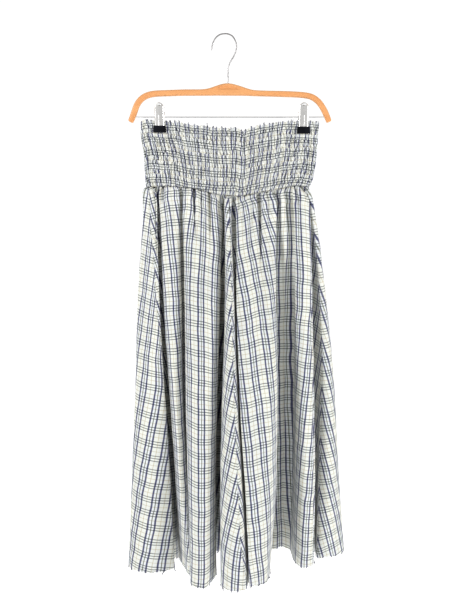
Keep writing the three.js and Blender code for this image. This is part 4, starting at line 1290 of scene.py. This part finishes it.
def stitches(name, line, normal, long, gap, radius, material, lift):
    """A row of short stitches along a run of points."""
    s = np.concatenate([[0], np.cumsum(np.linalg.norm(np.diff(line, axis=0), axis=1))])
    parts = []
    at = gap
    while at + long < s[-1] - gap:
        run = np.linspace(at, at + long, 3)
        pts = np.stack([np.interp(run, s, line[:, c]) for c in range(3)], -1)
        nor = np.stack([np.interp(run, s, normal[:, c]) for c in range(3)], -1)
        pts = pts + nor * (lift + np.array([-0.25, 0.14, -0.25])[:, None])
        parts.append(tube(pts, radius, 4, close=False))
        at += long + gap
    return parts


for n, (gore_name, (p, m, uv, k, arc)) in enumerate(GORES.items()):
    label = gore_name.replace("skirt_", "")
    down = np.concatenate([[0], np.cumsum(np.linalg.norm(np.diff(p[:, p.shape[1] // 2], axis=0), axis=1))])
    j = int(np.argmin(np.abs(down[-1] - down - 7.4)))
    sew = build("hem_stitches_" + label, *merge(stitches("", p[j], m[j], 2.3, 0.9, 0.22, None, CLOTH_HALF)), PALE_THREAD)
for n, (yoke_name, (p, m, below, arc, uv)) in enumerate(YOKES.items()):
    parts = []
    rows = int((below[-1, 0] - HEADER - 2) / SHIRR_PITCH)
    for row in range(rows + 1):
        want = HEADER + row * SHIRR_PITCH
        j = np.argmin(np.abs(below - want), axis=0)
        cols = np.arange(p.shape[1])
        parts += stitches("", p[j, cols], m[j, cols], 2.1, 1.5, 0.2, None, CLOTH_HALF)
    sew = build("elastic_stitches_" + yoke_name, *merge(parts), PALE_THREAD)
    # these thick dark stitches are partly painted shade: a dark line along the waist seam where its shadow falls
    seam = build("waist_seam_stitches_and_painted_shade_" + yoke_name,
                 *merge(stitches("", p[-2], m[-2], 2.6, 1.1, 0.36, None, CLOTH_HALF)), SEAM_THREAD_AND_SHADE)

# ------------------------------------------------------------------ floor, light and camera
floor_mesh = bpy.data.meshes.new("floor")
side = 6.0
floor_mesh.from_pydata([(-side, -side, -1.66), (side, -side, -1.66), (side, side, -1.66), (-side, side, -1.66)], [],
                       [(0, 1, 2, 3)])
floor = bpy.data.objects.new("floor", floor_mesh)
bpy.context.scene.collection.objects.link(floor)
pale = Nodes("pale_floor", roughness=0.9)
pale.shader.inputs["Specular IOR Level"].default_value = 0.1
pale.shader.inputs["Emission Color"].default_value = (1.0, 1.0, 1.0, 1.0)
pale.shader.inputs["Emission Strength"].default_value = 0.8
floor_mesh.materials.append(pale.set(Base_Color=(0.9, 0.9, 0.9, 1.0)))

scene = bpy.context.scene
world = bpy.data.worlds.new("studio")
scene.world = world
world.use_nodes = True
sky = world.node_tree.nodes["Background"]
sky.inputs["Color"].default_value = (1.0, 1.0, 1.0, 1.0)
# the backdrop is plain white, and lights the object more softly than it shows
backdrop = world.node_tree.nodes.new("ShaderNodeLightPath")
level = world.node_tree.nodes.new("ShaderNodeMapRange")
level.inputs["To Min"].default_value = 1.05
level.inputs["To Max"].default_value = 0.28
world.node_tree.links.new(backdrop.outputs["Is Diffuse Ray"], level.inputs["Value"])
mirrored = world.node_tree.nodes.new("ShaderNodeMapRange")
mirrored.inputs["To Min"].default_value = 1.0
mirrored.inputs["To Max"].default_value = 0.72
world.node_tree.links.new(backdrop.outputs["Is Glossy Ray"], mirrored.inputs["Value"])
strength = world.node_tree.nodes.new("ShaderNodeMath")
strength.operation = "MULTIPLY"
world.node_tree.links.new(level.outputs["Result"], strength.inputs[0])
world.node_tree.links.new(mirrored.outputs["Result"], strength.inputs[1])
world.node_tree.links.new(strength.outputs[0], sky.inputs["Strength"])


def area_light(name, place, aim, size, power, colour=(1, 1, 1)):
    data = bpy.data.lights.new(name, "AREA")
    data.shape = "DISK"
    data.size = size
    data.energy = power
    data.color = colour
    lamp = bpy.data.objects.new(name, data)
    scene.collection.objects.link(lamp)
    lamp.location = place
    way = np.array(aim, float) - np.array(place, float)
    way /= np.linalg.norm(way)
    z = -way
    x = np.cross((0, 0, 1), z)
    x /= np.linalg.norm(x)
    y = np.cross(z, x)
    m = [[x[i], y[i], z[i], place[i]] for i in range(3)] + [[0, 0, 0, 1]]
    import mathutils
    lamp.matrix_world = mathutils.Matrix(m)
    return lamp


area_light("key", (-2.2, -1.75, 0.9), (0, 0, -0.65), 0.6, 60)
area_light("fill", (2.5, -1.35, 0.1), (0, 0, -0.7), 0.9, 46)

scene.view_settings.view_transform = "Standard"
scene.view_settings.look = "None"
scene.view_settings.exposure = 0.0
scene.view_settings.gamma = 0.8

camera_data = bpy.data.cameras.new("camera")
camera_data.lens = 28.2
camera_data.sensor_width = 36.0
camera_data.clip_start = 0.01
camera = bpy.data.objects.new("camera", camera_data)
scene.collection.objects.link(camera)
camera.location = (0.001, -1.050, -0.456)
camera.rotation_euler = (math.radians(84.0), 0.0, 0.0)
scene.camera = camera
